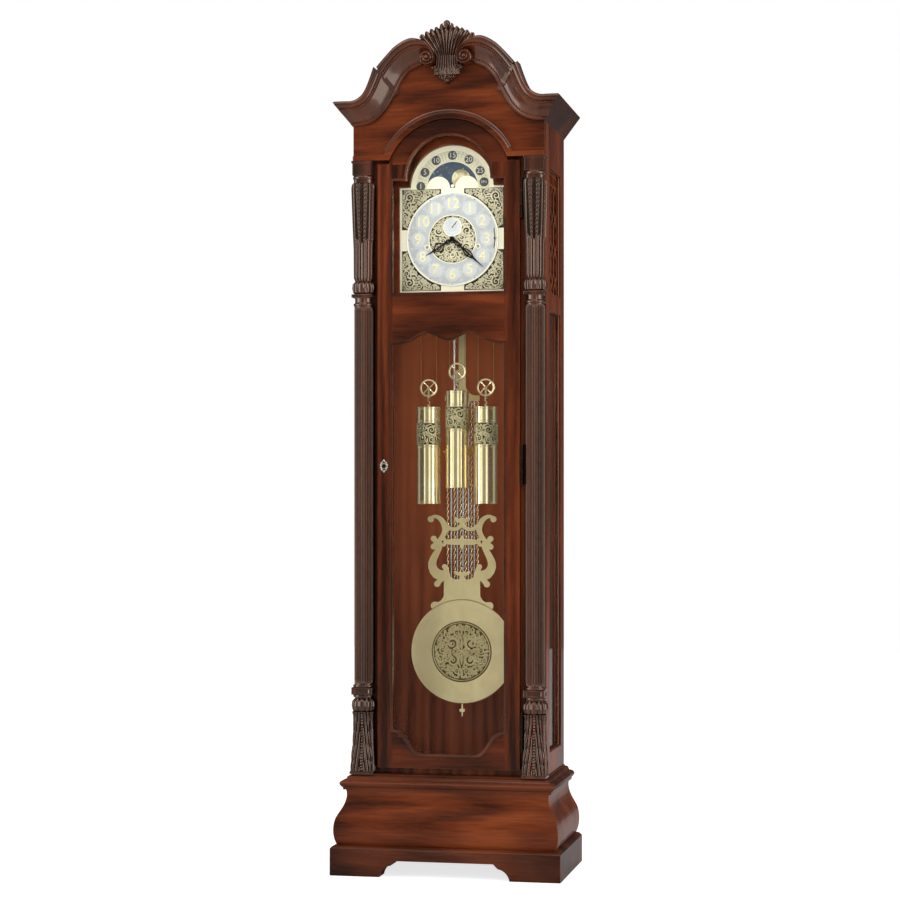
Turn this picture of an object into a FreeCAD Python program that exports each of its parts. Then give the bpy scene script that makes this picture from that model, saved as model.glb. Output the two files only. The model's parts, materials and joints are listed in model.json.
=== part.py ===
# A grandfather clock: case, glazed door, dial, movement, weights and pendulum.
# Millimetres, +Z up, the front faces -Y, the origin is the middle of the footprint on the floor.
import FreeCAD, Part
import math
import os

# Overall sizes
clock_width = 610.0
clock_depth = 376.0
clock_height = 2230.0

# Case boards and clearances
board = 22.0                 # thickness of the case boards
back_thickness = 10.0
glass_thickness = 3.0
glass_seat = 7.5             # how far a glass reaches under its rebate
glass_play = 0.5             # play between a glass and the edge of its rebate
flat_gap = 0.3               # gap between pieces of different bodies that lie close
cloth_thickness = 1.0

# Base
plinth_height = 70.0
plinth_cove_height = 9.0
plinth_cove_depth = 16.0
base_depth_of_ring = 57.0    # from the plinth's face to the inside of the base boards
bombe_top = 222.0
base_top = 262.0
foot_width = 133.0           # of each bracket foot, at the floor
foot_curve_height = 31.0
foot_curve_width = 31.0
foot_step_width = 12.0
foot_gap_height = 43.0

# Trunk and hood
side_overhang = 50.0         # from the plinth's side to the trunk's side
front_overhang = 55.0        # from the plinth's front to the door's front
arch_drop = 424.0            # from the top of the clock to the centre of the hood's arch
cornice_rise = 66.0          # underside of the pediment board above the arch's centre
roof_rise = 202.0            # underside of the roof board above the arch's centre
front_stile = 56.0           # widths of the side frames' stiles
back_stile = 50.0
fret_below_arch = 279.0      # edges of the fret opening and of the side glass, from the arch's centre
fret_above_arch = 47.0
side_glass_below_arch = 327.0
side_glass_sill = 58.0       # lower edge of the side glass above the base
fret_thickness = 6.0
face_frame_thickness = 20.0
face_frame_margin = 7.0      # how far the door laps over the face frame

# Columns and capitals
column_radius = 26.0
column_inset = 26.0          # from the trunk's side to the column's axis
column_forward = 11.0        # of the column's axis in front of the face frame
lower_capital_top = 495.5
upper_capital_drop = 315.3   # bottom of the upper capital below the arch's centre
capital_heights_lower = (8.0, 155.0, 37.0, 7.0, 20.0, 6.5)
capital_heights_upper = (7.3, 15.0, 8.0, 35.0, 257.0, 19.0, 33.0, 6.0)
capital_block = 28.7         # half width of a capital's square parts

# Door
door_thickness = 22.0
door_gap = 2.0
door_bottom_gap = 17.0
door_side_margin = 66.0      # from the trunk's side to the door's edge
door_arch_radius = 168.0
door_shoulder_rise = 56.0
dial_window_half = 148.0
dial_window_radius = 112.0
dial_window_arch_rise = 14.0
dial_window_bottom_drop = 283.0
lower_window_half = 148.0
lower_window_top_drop = 418.0    # of the corners below the arch's centre
lower_window_wave = 29.0         # rise of the humps above the corners
lower_window_dip = 20.0          # drop of the middle below the humps
lower_window_hump_x = 55.0
lower_window_sill = 55.0         # lowest edge above the base
lower_window_step = 62.0
bead_width = 6.0
bead_height = 3.0
hinge_radius = 4.0
hinge_pin_radius = 1.5
hinge_clearance = 0.06
hinge_length = 104.0
hinge_knuckle = 34.0
hinge_leaf = 1.8
hinge_foot = 3.0
hinge_from_edge = 6.5
hinge_heights_below_arch = (41.0, 733.0, 1429.0)
lock_below_arch = 736.0
lock_inset = 17.0
lock_radius = 5.0
running_clearance = 0.06

# Dial
mask_thickness = 13.0
dial_half = 141.0
dial_arch_radius = 112.0
dial_arch_drop = 3.0
dial_bottom_drop = 277.0
dial_plate_thickness = 2.0
dial_lap = 6.0               # how far the dial plate reaches under the mask
dial_centre_drop = 138.0
chapter_outer = 121.5
chapter_inner = 64.0
seconds_rise = 32.0
seconds_radius = 24.0
relief = 1.5                 # thickness of the rings laid on the dial
moon_opening_radius = 69.0
moon_drop = 11.0
moon_radius = 79.0
arch_ring_outer = 98.0
hump_radius = 31.0
minute_length = 113.0
minute_angle = 132.0
hour_length = 83.0
hour_angle = 239.0
second_angle = 40.0
hand_thickness = 1.0

# Movement
plate_thickness = 3.0
front_plate_from_dial = 12.0
plate_spacing = 84.0
plate_half_width = 118.0
plate_height = 165.0
seat_drop = 226.0            # top of the seatboard below the arch's centre
seat_thickness = 20.0
arbor_radius = 4.0
side_drum_x = 68.4
side_drum_drop = 20.0        # winding arbors below the dial's centre
centre_drum_drop = 41.4
side_drum_radius = 30.0      # to the middle of the wound cable
centre_drum_radius = 21.0
drum_length = 40.0
centre_wheel_radius = 24.0
third_wheel_radius = 20.0
third_x = 19.1
third_rise = 19.4
escape_radius = 16.0
pinion_radius = 2.6
tooth_depth = 1.6
anchor_rise = 60.0           # of the anchor's arbor above the dial's centre
chime_count = 8
chime_pitch = 11.0
chime_rod_radius = 2.2
first_rod_x = 29.5
long_rod_length = 423.0
hammer_arbor = 2.5
hammer_behind_plate = 30.0
hammer_rise = 30.0           # of the hammers' arbor above the seatboard
rods_behind_plate = 67.0

# Weights and cables
weight_plane = 118.0         # behind the door's front
weight_radius = 31.0
weight_length = 258.0
weight_top_drop_side = 577.0
weight_top_drop_centre = 534.5
pulley_radius = 24.0
pulley_width = 6.0
pulley_above_weight = 51.0
cable_radius = 1.0
cable_half = 21.0            # half the distance between a weight's two strands
band_drop = 42.0
band_length = 60.0

# Pendulum
pendulum_plane = 185.0       # behind the door's front
pendulum_length = 1154.0     # pivot to the bob's centre
bob_radius = 140.0
bob_edge = 5.0
bob_crown = 9.0
medallion_radius = 81.0
rod_pitch = 8.2
rod_radius = 2.4
yoke_drop = 480.0            # of the yoke's underside below the pivot
yoke_height = 14.0
yoke_half = 47.0
strap_half = 9.5
strap_thickness = 2.5
pin_radius = 3.0
pin_half = 8.0
spacer_drop = 617.0
grid_foot = 190.0            # lower end of the rods above the bob's centre
lyre_thickness = 3.0
lyre_gap = 0.6               # between the lyre's foot and the bob's edge

# Worked out from the sizes above
half_width = clock_width / 2
back_y = clock_depth / 2
face_y = front_overhang - back_y
trunk_half = half_width - side_overhang
inner_half = trunk_half - board
base_inner_half = half_width - base_depth_of_ring
base_inner_y = base_depth_of_ring - back_y
arch_z = clock_height - arch_drop
frame_y = face_y + door_thickness + door_gap
mask_y = frame_y + face_frame_thickness
dial_y = mask_y + mask_thickness
dial_z = arch_z - dial_centre_drop
door_half = trunk_half - door_side_margin
column_x = trunk_half - column_inset
column_y = frame_y - column_forward
cornice_z = arch_z + cornice_rise
roof_z = arch_z + roof_rise
upper_capital_z = arch_z - upper_capital_drop
front_plate_y = dial_y + dial_plate_thickness + front_plate_from_dial
back_plate_y = front_plate_y + plate_spacing
seat_z = arch_z - seat_drop
weight_y = face_y + weight_plane
pendulum_y = face_y + pendulum_plane
pivot_z = dial_z + anchor_rise
bob_z = pivot_z - pendulum_length
side_weight_x = side_drum_x + side_drum_radius - cable_half
hammer_y = back_plate_y + plate_thickness + hammer_behind_plate
hammer_z = seat_z + hammer_rise
rods_y = back_plate_y + plate_thickness + rods_behind_plate
last_rod_x = first_rod_x + chime_pitch * (chime_count - 1)
long_rod_low = hammer_z + 48 - long_rod_length


def point(x, y, z):
    return FreeCAD.Vector(x, y, z)


def box(x0, x1, y0, y1, z0, z1):
    return Part.makeBox(x1 - x0, y1 - y0, z1 - z0, point(x0, y0, z0))


def rod(radius, start, end):
    run = end - start
    return Part.makeCylinder(radius, run.Length, start, run)


def tube(outer, inner, start, end):
    return rod(outer, start, end).cut(rod(inner, start, end))


def mirrored(shape):
    return shape.mirror(point(0, 0, 0), point(1, 0, 0))


def with_mirror(shape):
    return [shape, mirrored(shape)]


def path_edges(start, steps, place):
    """Edges through the steps: a pair of numbers is a line's end, two pairs are an arc's middle and end."""
    edges = []
    here = start
    for step in steps:
        if isinstance(step[0], tuple):
            middle, there = step
            curve = Part.Arc(place(*here), place(*middle), place(*there))
        else:
            there = step
            curve = Part.LineSegment(place(*here), place(*there))
        edges.append(curve.toShape())
        here = there
    return edges


def smooth_edge(points, place):
    curve = Part.BSplineCurve()
    curve.interpolate([place(*p) for p in points])
    return curve.toShape()


def closed_face(edges):
    return Part.Face(Part.Wire(Part.__sortEdges__(edges)))


def front_view(y):
    return lambda x, z: point(x, y, z)


def slab(edges, y0, y1):
    """A plate parallel to the front, from edges drawn at y0."""
    return closed_face(edges).extrude(point(0, y1 - y0, 0))


def outline_slab(start, steps, y0, y1):
    return slab(path_edges(start, steps, front_view(y0)), y0, y1)


def mirror_edges(edges):
    return edges + [edge.mirror(point(0, 0, 0), point(1, 0, 0)) for edge in edges]


def half_outline_slab(start, steps, y0, y1):
    """A plate whose right half is drawn from the middle line round to the middle line."""
    return slab(mirror_edges(path_edges(start, steps, front_view(y0))), y0, y1)


def revolved(profile, x, y, axis=(0, 0, 1)):
    """A solid of revolution about a vertical axis; the profile is (radius, z) from the axis to the axis."""
    edges = path_edges(profile[0], profile[1:] + [profile[0]], lambda r, z: point(x + r, y, z))
    return closed_face(edges).revolve(point(x, y, 0), point(*axis), 360)


def toothed_wheel(radius, teeth, x, z, y0, y1, bore):
    """A flat wheel with straight teeth, four spokes' windows and a bore."""
    corners = []
    for index in range(teeth * 4):
        reach = radius if index % 4 in (1, 2) else radius - tooth_depth
        angle = 2 * math.pi * index / (teeth * 4)
        corners.append(point(x + reach * math.sin(angle), y0, z + reach * math.cos(angle)))
    wheel = Part.Face(Part.makePolygon(corners + [corners[0]])).extrude(point(0, y1 - y0, 0))
    rim = radius * 0.78
    window = tube(rim, radius * 0.3, point(x, y0, z), point(x, y1, z))
    spoke = radius * 0.09
    window = window.cut(box(x - rim, x + rim, y0, y1, z - spoke, z + spoke))
    window = window.cut(box(x - spoke, x + spoke, y0, y1, z - rim, z + rim))
    return wheel.cut(window).cut(rod(bore, point(x, y0, z), point(x, y1, z)))


def mitred_runs(start, steps, smooth, low, high):
    """Front, right and left runs of a profile drawn as (setback from the plinth's face, z)."""
    depth = base_depth_of_ring

    def drawn(place):
        edges = path_edges(start, steps, place)
        if smooth:
            edges.append(smooth_edge(smooth, place))
        return closed_face(edges)

    def wedge(corners):
        base = [point(x, y, low) for x, y in corners]
        return Part.Face(Part.makePolygon(base + [base[0]])).extrude(point(0, 0, high - low))

    front = drawn(lambda s, z: point(-half_width, s - back_y, z)).extrude(point(clock_width, 0, 0))
    inner = half_width - depth
    front = front.common(wedge([(-half_width, -back_y), (half_width, -back_y),
                                (inner, depth - back_y), (-inner, depth - back_y)]))
    side = drawn(lambda s, z: point(half_width - s, -back_y, z)).extrude(point(0, clock_depth, 0))
    side = side.common(wedge([(half_width, -back_y), (half_width, back_y),
                              (inner, back_y), (inner, depth - back_y)]))
    return [front, side, mirrored(side)]


def write(name, solids):
    """One STEP file of one node, whose solids stay separate."""
    single = []
    for shape in solids:
        single.extend(shape.Solids)
    shape = single[0] if len(single) == 1 else Part.Compound(single)
    shape.exportStep(os.path.join("parts", name + ".step"))


# ---- base ----

def make_plinth():
    top = plinth_height + plinth_cove_height
    cove_middle = (plinth_cove_depth * 0.35, plinth_height + plinth_cove_height * 0.7)
    steps = [(0, plinth_height), (cove_middle, (plinth_cove_depth, top)),
             (base_depth_of_ring, top), (base_depth_of_ring, 0), (0, 0)]
    front, right, left = mitred_runs((0, 0), steps, None, 0, top)
    foot = half_width - foot_width
    curve_end = foot - foot_curve_width
    shoulder = curve_end - foot_step_width
    gap = half_outline_slab((0, -1), [
        (foot, -1), (foot, 0),
        ((foot - 8, 18), (curve_end, foot_curve_height)),
        (shoulder, foot_gap_height), (0, foot_gap_height)], -back_y - 1, base_inner_y + 1)
    write("plinth", [front.cut(gap), right, left])


def make_bombe():
    low = plinth_height + plinth_cove_height
    swell = [(plinth_cove_depth, low), (10, low + 16), (7.5, low + 43), (13, low + 71),
             (26, low + 94), (34.5, low + 114), (37, low + 131), (35, bombe_top)]
    steps = [(base_depth_of_ring, bombe_top), (base_depth_of_ring, low), (plinth_cove_depth, low)]
    write("bombe_base", mitred_runs((35, bombe_top), steps, swell, low, bombe_top))


def make_base_moulding():
    steps = [(29, bombe_top), (28, bombe_top + 6), ((24, bombe_top + 10), (21, bombe_top + 15)),
             (21, bombe_top + 19), ((26, bombe_top + 24), (35, bombe_top + 26)),
             (37, bombe_top + 30), ((40, bombe_top + 35), (47, bombe_top + 36)),
             (47, base_top), (base_depth_of_ring, base_top), (base_depth_of_ring, bombe_top), (35, bombe_top)]
    write("base_moulding", mitred_runs((35, bombe_top), steps, None, bombe_top, base_top))


def make_base_boards():
    inner_back = back_y - board
    base_back = box(-base_inner_half, base_inner_half, inner_back, back_y, 0, base_top)
    trunk_back = box(-inner_half, inner_half, back_y - back_thickness, back_y, base_top, roof_z)
    write("back_boards", [base_back, trunk_back])
    floor = box(-base_inner_half, base_inner_half, base_inner_y, inner_back, base_top - board, base_top)
    write("trunk_floor", [floor])


# ---- trunk ----

fret_low = arch_z - fret_below_arch
fret_high = arch_z + fret_above_arch
side_glass_low = base_top + side_glass_sill
side_glass_high = arch_z - side_glass_below_arch
side_open_front = frame_y + front_stile
side_open_back = back_y - back_stile


def make_sides():
    rebate = inner_half + board - fret_thickness * 2
    side = box(inner_half, trunk_half, frame_y, back_y, base_top, roof_z)
    for low, high in ((fret_low, fret_high), (side_glass_low, side_glass_high)):
        seat = glass_seat + glass_play
        side = side.cut(box(inner_half, trunk_half, side_open_front, side_open_back, low, high))
        side = side.cut(box(inner_half, rebate, side_open_front - seat, side_open_back + seat,
                            low - seat, high + seat))
    write("right_side_frame", [side])
    write("left_side_frame", [mirrored(side)])
    glass = box(rebate - glass_thickness, rebate, side_open_front - glass_seat,
                side_open_back + glass_seat, side_glass_low - glass_seat, side_glass_high + glass_seat)
    write("side_glass", with_mirror(glass))
    make_fret(rebate)


def make_fret(rebate):
    low = fret_low - glass_seat
    high = fret_high + glass_seat
    front = side_open_front - glass_seat
    back = side_open_back + glass_seat
    fret = box(rebate - fret_thickness, rebate, front, back, low, high)
    columns, rows = 5, 9
    pitch_y = (side_open_back - side_open_front) / columns
    pitch_z = (fret_high - fret_low) / rows
    for row in range(rows):
        for column in range(columns):
            y = side_open_front + pitch_y * (column + 0.5)
            z = fret_low + pitch_z * (row + 0.5)
            corners = [point(rebate - fret_thickness, y + a * pitch_y * 0.4, z + b * pitch_z * 0.4)
                       for a, b in ((-1, 0), (0, 1), (1, 0), (0, -1), (-1, 0))]
            fret = fret.cut(Part.Face(Part.makePolygon(corners)).extrude(point(fret_thickness, 0, 0)))
    write("fret_panels", with_mirror(fret))
    inside = rebate - fret_thickness
    cloth = box(inside - cloth_thickness, inside, front, back, low, high)
    write("grille_cloth", with_mirror(cloth))


def arched(half, shoulder, radius, centre, bottom, y0, y1):
    """A plate with straight sides, level shoulders and a round arch."""
    reach = math.sqrt(radius ** 2 - (shoulder - centre) ** 2)
    middle = math.pi / 4 + math.asin((shoulder - centre) / radius) / 2
    bend = (radius * math.cos(middle), centre + radius * math.sin(middle))
    return half_outline_slab((0, bottom), [
        (half, bottom), (half, shoulder), (reach, shoulder),
        (bend, (0, centre + radius))], y0, y1)


def make_face_frame():
    back = frame_y + face_frame_thickness
    frame = box(-inner_half, inner_half, frame_y, back, base_top, roof_z)
    half = door_half - face_frame_margin
    opening = arched(half, arch_z + door_shoulder_rise - face_frame_margin,
                     door_arch_radius - face_frame_margin, arch_z, base_top + board, frame_y, back)
    write("face_frame", [frame.cut(opening)])


def capital(heights, low, widths, leaf):
    """A stack of square and round parts, cut flat where it meets the case."""
    z = low
    pieces = []
    for height, (kind, first, last) in zip(heights, widths):
        if kind == "square":
            pieces.append(square_part(first, last, z, z + height))
        elif kind == "bulb":
            pieces.append(revolved([(0, z), (first, z), ((last, z + height / 2), (first, z + height)),
                                    (0, z + height)], column_x, column_y))
        else:
            pieces.append(rod(first, point(column_x, column_y, z), point(column_x, column_y, z + height)))
        z += height
    solid = pieces[0].multiFuse(pieces[1:]).removeSplitter()
    reach = leaf * 2
    behind = box(column_x - reach, column_x + reach, frame_y, frame_y + reach, low, z)
    return solid.cut(behind)


def square_part(first, last, low, high):
    wires = []
    for half, z in ((first, low), (last, high)):
        corners = [point(column_x + a * half, column_y + b * half, z)
                   for a, b in ((-1, -1), (1, -1), (1, 1), (-1, 1), (-1, -1))]
        wires.append(Part.makePolygon(corners))
    return Part.makeLoft(wires, True, True)


def make_columns():
    block = capital_block
    lower = capital(capital_heights_lower, base_top, (
        ("square", block + 4.3, block + 4.3), ("square", block - 1.2, block - 5), ("bulb", 22, block),
        ("round", block - 1, 0), ("square", block, block), ("round", block + 0.3, 0)), block + 6)
    write("lower_capitals", with_mirror(lower))
    upper = capital(capital_heights_upper, upper_capital_z, (
        ("round", block, 0), ("round", block - 4, 0), ("square", block, block), ("bulb", 22, block),
        ("square", block - 6.7, block + 0.6), ("round", block - 2, 0), ("square", block, block),
        ("square", block + 0.6, block + 0.6)), block + 6)
    write("upper_capitals", with_mirror(upper))
    shaft = rod(column_radius, point(column_x, column_y, lower_capital_top),
                point(column_x, column_y, upper_capital_z))
    reach = column_radius * 2
    shaft = shaft.cut(box(column_x - reach, column_x + reach, frame_y, frame_y + reach,
                          lower_capital_top, upper_capital_z))
    write("columns", with_mirror(shaft))


# ---- hood ----

crown_under = 156.0          # level underside of the crown above the arch's centre
crown_projection = 47.0
crown_step = 17.0
crown_top = 218.0
eye_x = 49.0                 # scroll eye
eye_z = arch_z + 325.0
eye_radius = 19.5
crown_lower = [(trunk_half, crown_under), (trunk_half - 27, crown_under + 2), (172, 192), (138, 241),
               (104, 294)]
crown_upper = [(trunk_half, crown_top), (trunk_half - 9, crown_top), (214, 244), (185, 302), (128, 362)]


def crown_edge(share):
    """Points of the crown's lower edge, moved by a share of the way to the upper edge."""
    moved = []
    for (x0, z0), (x1, z1) in zip(crown_lower, crown_upper):
        moved.append((x0 + (x1 - x0) * share, arch_z + z0 + (z1 - z0) * share))
    return moved


def crown_band(share, y0, y1):
    side, flat, sweep, brk, arc = crown_edge(share)
    top = arch_z + crown_top
    return outline_slab(side, [
        (trunk_half, top), (trunk_half - 9, top),
        ((214, arch_z + 244), (198, arch_z + 300)), (172, arch_z + 304),
        ((142, arch_z + 352), (92, arch_z + 380)),
        ((46, arch_z + 362), (eye_x - eye_radius, eye_z)),
        ((eye_x, eye_z - eye_radius), (eye_x + eye_radius * 0.64, eye_z - eye_radius * 0.77)),
        (arc, brk), (sweep, flat), side], y0, y1)


def make_crown():
    step_y = face_y - crown_step
    tip_y = face_y - crown_projection
    band = crown_band(0, step_y, face_y).fuse(crown_band(0.45, tip_y, step_y)).removeSplitter()
    eye = rod(eye_radius * 0.45, point(eye_x, tip_y - 4, eye_z), point(eye_x, tip_y, eye_z))
    low = arch_z + crown_under
    middle = low + (crown_top - crown_under) * 0.45
    top = arch_z + crown_top
    lower_return = box(trunk_half, trunk_half + crown_step, step_y, back_y, low, middle)
    upper_return = box(trunk_half, trunk_half + crown_projection, tip_y, back_y, middle, top)
    side = lower_return.fuse(upper_return).removeSplitter()
    write("crown_moulding", with_mirror(band) + with_mirror(side) + with_mirror(eye))


def make_pediment():
    radius = door_arch_radius + door_gap
    back = face_y + board
    reach = math.sqrt(radius ** 2 - cornice_rise ** 2)
    middle = math.pi / 4 + math.asin(cornice_rise / radius) / 2
    side, flat, sweep, brk, arc = crown_edge(0.8)
    pediment = half_outline_slab((0, arch_z + radius), [
        ((radius * math.cos(middle), arch_z + radius * math.sin(middle)), (reach, cornice_z)),
        (trunk_half, cornice_z), (trunk_half, roof_z), flat,
        (sweep, brk), (arc, (eye_x + 4, eye_z + eye_radius * 0.6)), (eye_x - eye_radius, eye_z - 4),
        (0, eye_z - 4)], face_y, back)
    write("pediment_board", [pediment])
    roof = box(-trunk_half, trunk_half, back, back_y, roof_z, roof_z + 16)
    write("hood_roof", [roof])
    outer = radius + 19
    front = face_y - 8
    ring = tube(outer, radius, point(0, front, arch_z), point(0, face_y, arch_z))
    ring = ring.cut(box(-outer, outer, front, face_y, arch_z - outer, cornice_z))
    strip = box(reach, trunk_half, front, face_y, cornice_z, cornice_z + 13)
    core = rod(radius, point(0, front, arch_z), point(0, face_y, arch_z))
    strip = strip.cut(core)
    write("hood_moulding", [ring.multiFuse([strip, mirrored(strip)]).removeSplitter()])


def make_shell():
    front = face_y - 27
    foot = eye_z - 65
    stem = eye_x - eye_radius - 1
    shell = half_outline_slab((0, foot), [
        ((22, eye_z - 58), (31, eye_z - 37)), (stem, eye_z - 18), (stem, eye_z),
        ((44.3, arch_z + 364.5), (77, arch_z + 379.4)), (77, arch_z + 388),
        ((48, arch_z + 412), (0, clock_height))], front, face_y)
    write("shell_carving", [shell])


# ---- door ----

door_low = base_top + door_bottom_gap
window_low = arch_z - dial_window_bottom_drop


def window_cut(margin, y0, y1):
    """The dial's window, grown by a margin all round."""
    return arched(dial_window_half + margin, arch_z + dial_window_arch_rise - 3 + margin,
                  dial_window_radius + margin, arch_z + dial_window_arch_rise, window_low - margin, y0, y1)


def wave_points(margin):
    corner = arch_z - lower_window_top_drop + margin
    half = lower_window_half + margin
    hump = lower_window_wave
    dip = corner + hump - lower_window_dip
    peak = lower_window_hump_x
    right = [(half, corner), (half - 16, corner), (half - 34, corner + hump * 0.14),
             (peak + 38, corner + hump * 0.46), (peak + 18, corner + hump * 0.88), (peak, corner + hump),
             (peak - 20, corner + hump * 0.8), (peak - 40, dip + 3), (0, dip)]
    return right + [(-x, z) for x, z in reversed(right[:-1])]


def ogee_points(margin):
    sill = base_top + lower_window_sill - margin
    half = lower_window_half + margin
    step = lower_window_step
    return [(half, sill + step), (half - 12, sill + step - 1), (half - 26, sill + step * 0.86),
            (half - 40, sill + step * 0.58), (half - 54, sill + step * 0.25),
            (half - 66, sill + step * 0.07), (half - 80, sill)]


def lower_window_cut(margin, y0, y1):
    """The lower window with its waved top and shaped sill, grown by a margin all round."""
    place = front_view(y0)
    top = wave_points(margin)
    foot = ogee_points(margin)
    right_foot = smooth_edge(foot, place)
    edges = [smooth_edge(top, place), right_foot,
             right_foot.mirror(point(0, 0, 0), point(1, 0, 0)),
             Part.LineSegment(place(*top[0]), place(*foot[0])).toShape(),
             Part.LineSegment(place(*top[-1]), place(-foot[0][0], foot[0][1])).toShape(),
             Part.LineSegment(place(*foot[-1]), place(-foot[-1][0], foot[-1][1])).toShape()]
    return slab(edges, y0, y1)


def make_door():
    back = face_y + door_thickness
    shoulder = arch_z + door_shoulder_rise
    door = arched(door_half, shoulder, door_arch_radius, arch_z, door_low, face_y, back)
    rebate_y = back - 10
    seat = glass_seat + glass_play
    low_glass_z = base_top + lower_window_sill - glass_seat
    high_glass_z = arch_z - lower_window_top_drop + lower_window_wave + glass_seat
    lower_half = lower_window_half + glass_seat
    door = door.cut(window_cut(0, face_y, back)).cut(lower_window_cut(0, face_y, back))
    door = door.cut(window_cut(seat, rebate_y, back))
    door = door.cut(box(-lower_half - glass_play, lower_half + glass_play, rebate_y, back,
                        low_glass_z - glass_play, high_glass_z + glass_play))
    lock_z = arch_z - lock_below_arch
    lock_x = lock_inset - door_half
    door = door.cut(rod(lock_radius + running_clearance, point(lock_x, face_y, lock_z),
                        point(lock_x, back, lock_z)))
    write("door_frame", [door])
    upper = window_cut(glass_seat, rebate_y, rebate_y + glass_thickness)
    lower = box(-lower_half, lower_half, rebate_y, rebate_y + glass_thickness, low_glass_z, high_glass_z)
    write("door_glass", [upper, lower])
    bead_y = face_y - bead_height
    beads = [window_cut(bead_width, bead_y, face_y).cut(window_cut(0, bead_y, face_y)),
             lower_window_cut(bead_width, bead_y, face_y).cut(lower_window_cut(0, bead_y, face_y))]
    write("door_beads", beads)
    make_lock(lock_x, lock_z, back)


def make_lock(x, z, back):
    plate = outline_slab((x - 8, z - 14), [
        ((x, z - 18), (x + 8, z - 14)), ((x + 11.5, z), (x + 8, z + 14)),
        ((x, z + 18), (x - 8, z + 14)), ((x - 11.5, z), (x - 8, z - 14))], face_y - 1.5, face_y)
    plate = plate.cut(rod(lock_radius + running_clearance, point(x, face_y - 1.5, z), point(x, face_y, z)))
    write("lock_escutcheon", [plate])
    plug = rod(lock_radius, point(x, face_y - 2.5, z), point(x, back, z))
    keyway = box(x - 0.8, x + 0.8, face_y - 2.5, face_y + 8, z - 3, z + 3)
    write("lock_plug", [plug.cut(keyway)])


def make_hinges():
    x = door_half + hinge_from_edge
    y = face_y - 1
    side = hinge_knuckle / 2
    case_leaves = []
    door_leaves = []
    for drop in hinge_heights_below_arch:
        z = arch_z - drop
        end = hinge_length / 2
        pin = rod(hinge_pin_radius, point(x, y, z - end), point(x, y, z + end))
        leaf_x = x + 1
        leaf = box(leaf_x, leaf_x + hinge_leaf, y + hinge_radius + 1, frame_y, z - end, z + end)
        foot = box(leaf_x, leaf_x + hinge_foot, frame_y - hinge_leaf, frame_y, z - end, z + end)
        pieces = [leaf, foot, pin]
        for low, high in ((z - end, z - side - flat_gap), (z + side + flat_gap, z + end)):
            pieces.append(rod(hinge_radius, point(x, y, low), point(x, y, high)))
            pieces.append(box(leaf_x, leaf_x + hinge_leaf, y, y + hinge_radius + 1, low, high))
        case_leaves.append(pieces[0].multiFuse(pieces[1:]).removeSplitter())
        knuckle = rod(hinge_radius, point(x, y, z - side), point(x, y, z + side))
        web = box(door_half, x, y - 1, y + 1, z - side, z + side)
        flap = box(door_half, door_half + hinge_leaf, y - 1, face_y + door_thickness - 3, z - side, z + side)
        bore = rod(hinge_pin_radius + hinge_clearance, point(x, y, z - side), point(x, y, z + side))
        door_leaves.append(knuckle.multiFuse([web, flap]).removeSplitter().cut(bore))
    write("hinge_case_leaves", case_leaves)
    write("hinge_door_leaves", door_leaves)


# ---- dial ----

dial_low = arch_z - dial_bottom_drop
dial_arch_z = arch_z - dial_arch_drop
moon_z = arch_z - moon_drop


def dial_shape(margin, y0, y1):
    return arched(dial_half + margin, dial_arch_z + 3 + margin, dial_arch_radius + margin, dial_arch_z,
                  dial_low - margin, y0, y1)


def winding_places():
    side_z = dial_z - side_drum_drop
    return {"left": (-side_drum_x, side_z), "centre": (0, dial_z - centre_drum_drop),
            "right": (side_drum_x, side_z)}


def moon_window(y0, y1):
    """The half-round sky window with a hump at each side."""
    sky = rod(moon_opening_radius, point(0, y0, dial_arch_z), point(0, y1, dial_arch_z))
    sky = sky.cut(box(-moon_radius, moon_radius, y0, y1, dial_arch_z - moon_radius, dial_arch_z))
    hump_x = moon_opening_radius - hump_radius
    for x in (-hump_x, hump_x):
        sky = sky.cut(rod(hump_radius, point(x, y0, dial_arch_z), point(x, y1, dial_arch_z)))
    return sky


def make_dial():
    mask = arched(trunk_half - door_side_margin + 8, arch_z + 80, 150, arch_z + 20, dial_low - 40,
                  mask_y, dial_y)
    mask = mask.cut(dial_shape(0, mask_y, dial_y))
    write("dial_mask", [mask])
    back = dial_y + dial_plate_thickness
    plate = dial_shape(dial_lap, dial_y, back).cut(moon_window(dial_y, back))
    for x, z in winding_places().values():
        plate = plate.cut(rod(6, point(x, dial_y, z), point(x, back, z)))
    plate = plate.cut(rod(5.5, point(0, dial_y, dial_z), point(0, back, dial_z)))
    seconds_z = dial_z + seconds_rise
    plate = plate.cut(rod(2.5, point(0, dial_y, seconds_z), point(0, back, seconds_z)))
    plate = plate.cut(selector_slot(dial_y, back, 14, 1.6))
    stud = rod(3, point(0, back, moon_z), point(0, back + 4, moon_z))
    write("dial_plate", [plate.fuse(stud)])
    front = dial_y - relief
    chapter = tube(chapter_outer, chapter_inner, point(0, front, dial_z), point(0, dial_y, dial_z))
    for x, z in winding_places().values():
        chapter = chapter.cut(rod(7, point(x, front, z), point(x, dial_y, z)))
    chapter = chapter.cut(selector_slot(front, dial_y, 15, 2.6))
    seconds = tube(seconds_radius, seconds_radius - 7, point(0, front, seconds_z),
                   point(0, dial_y, seconds_z))
    arch = tube(arch_ring_outer, moon_opening_radius, point(0, front, dial_arch_z),
                point(0, dial_y, dial_arch_z))
    arch = arch.cut(box(-arch_ring_outer, arch_ring_outer, front, dial_y, dial_arch_z - arch_ring_outer,
                        dial_arch_z + 2))
    write("dial_rings", [chapter, seconds, arch])
    make_spandrels(front)
    make_moon(back)


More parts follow.
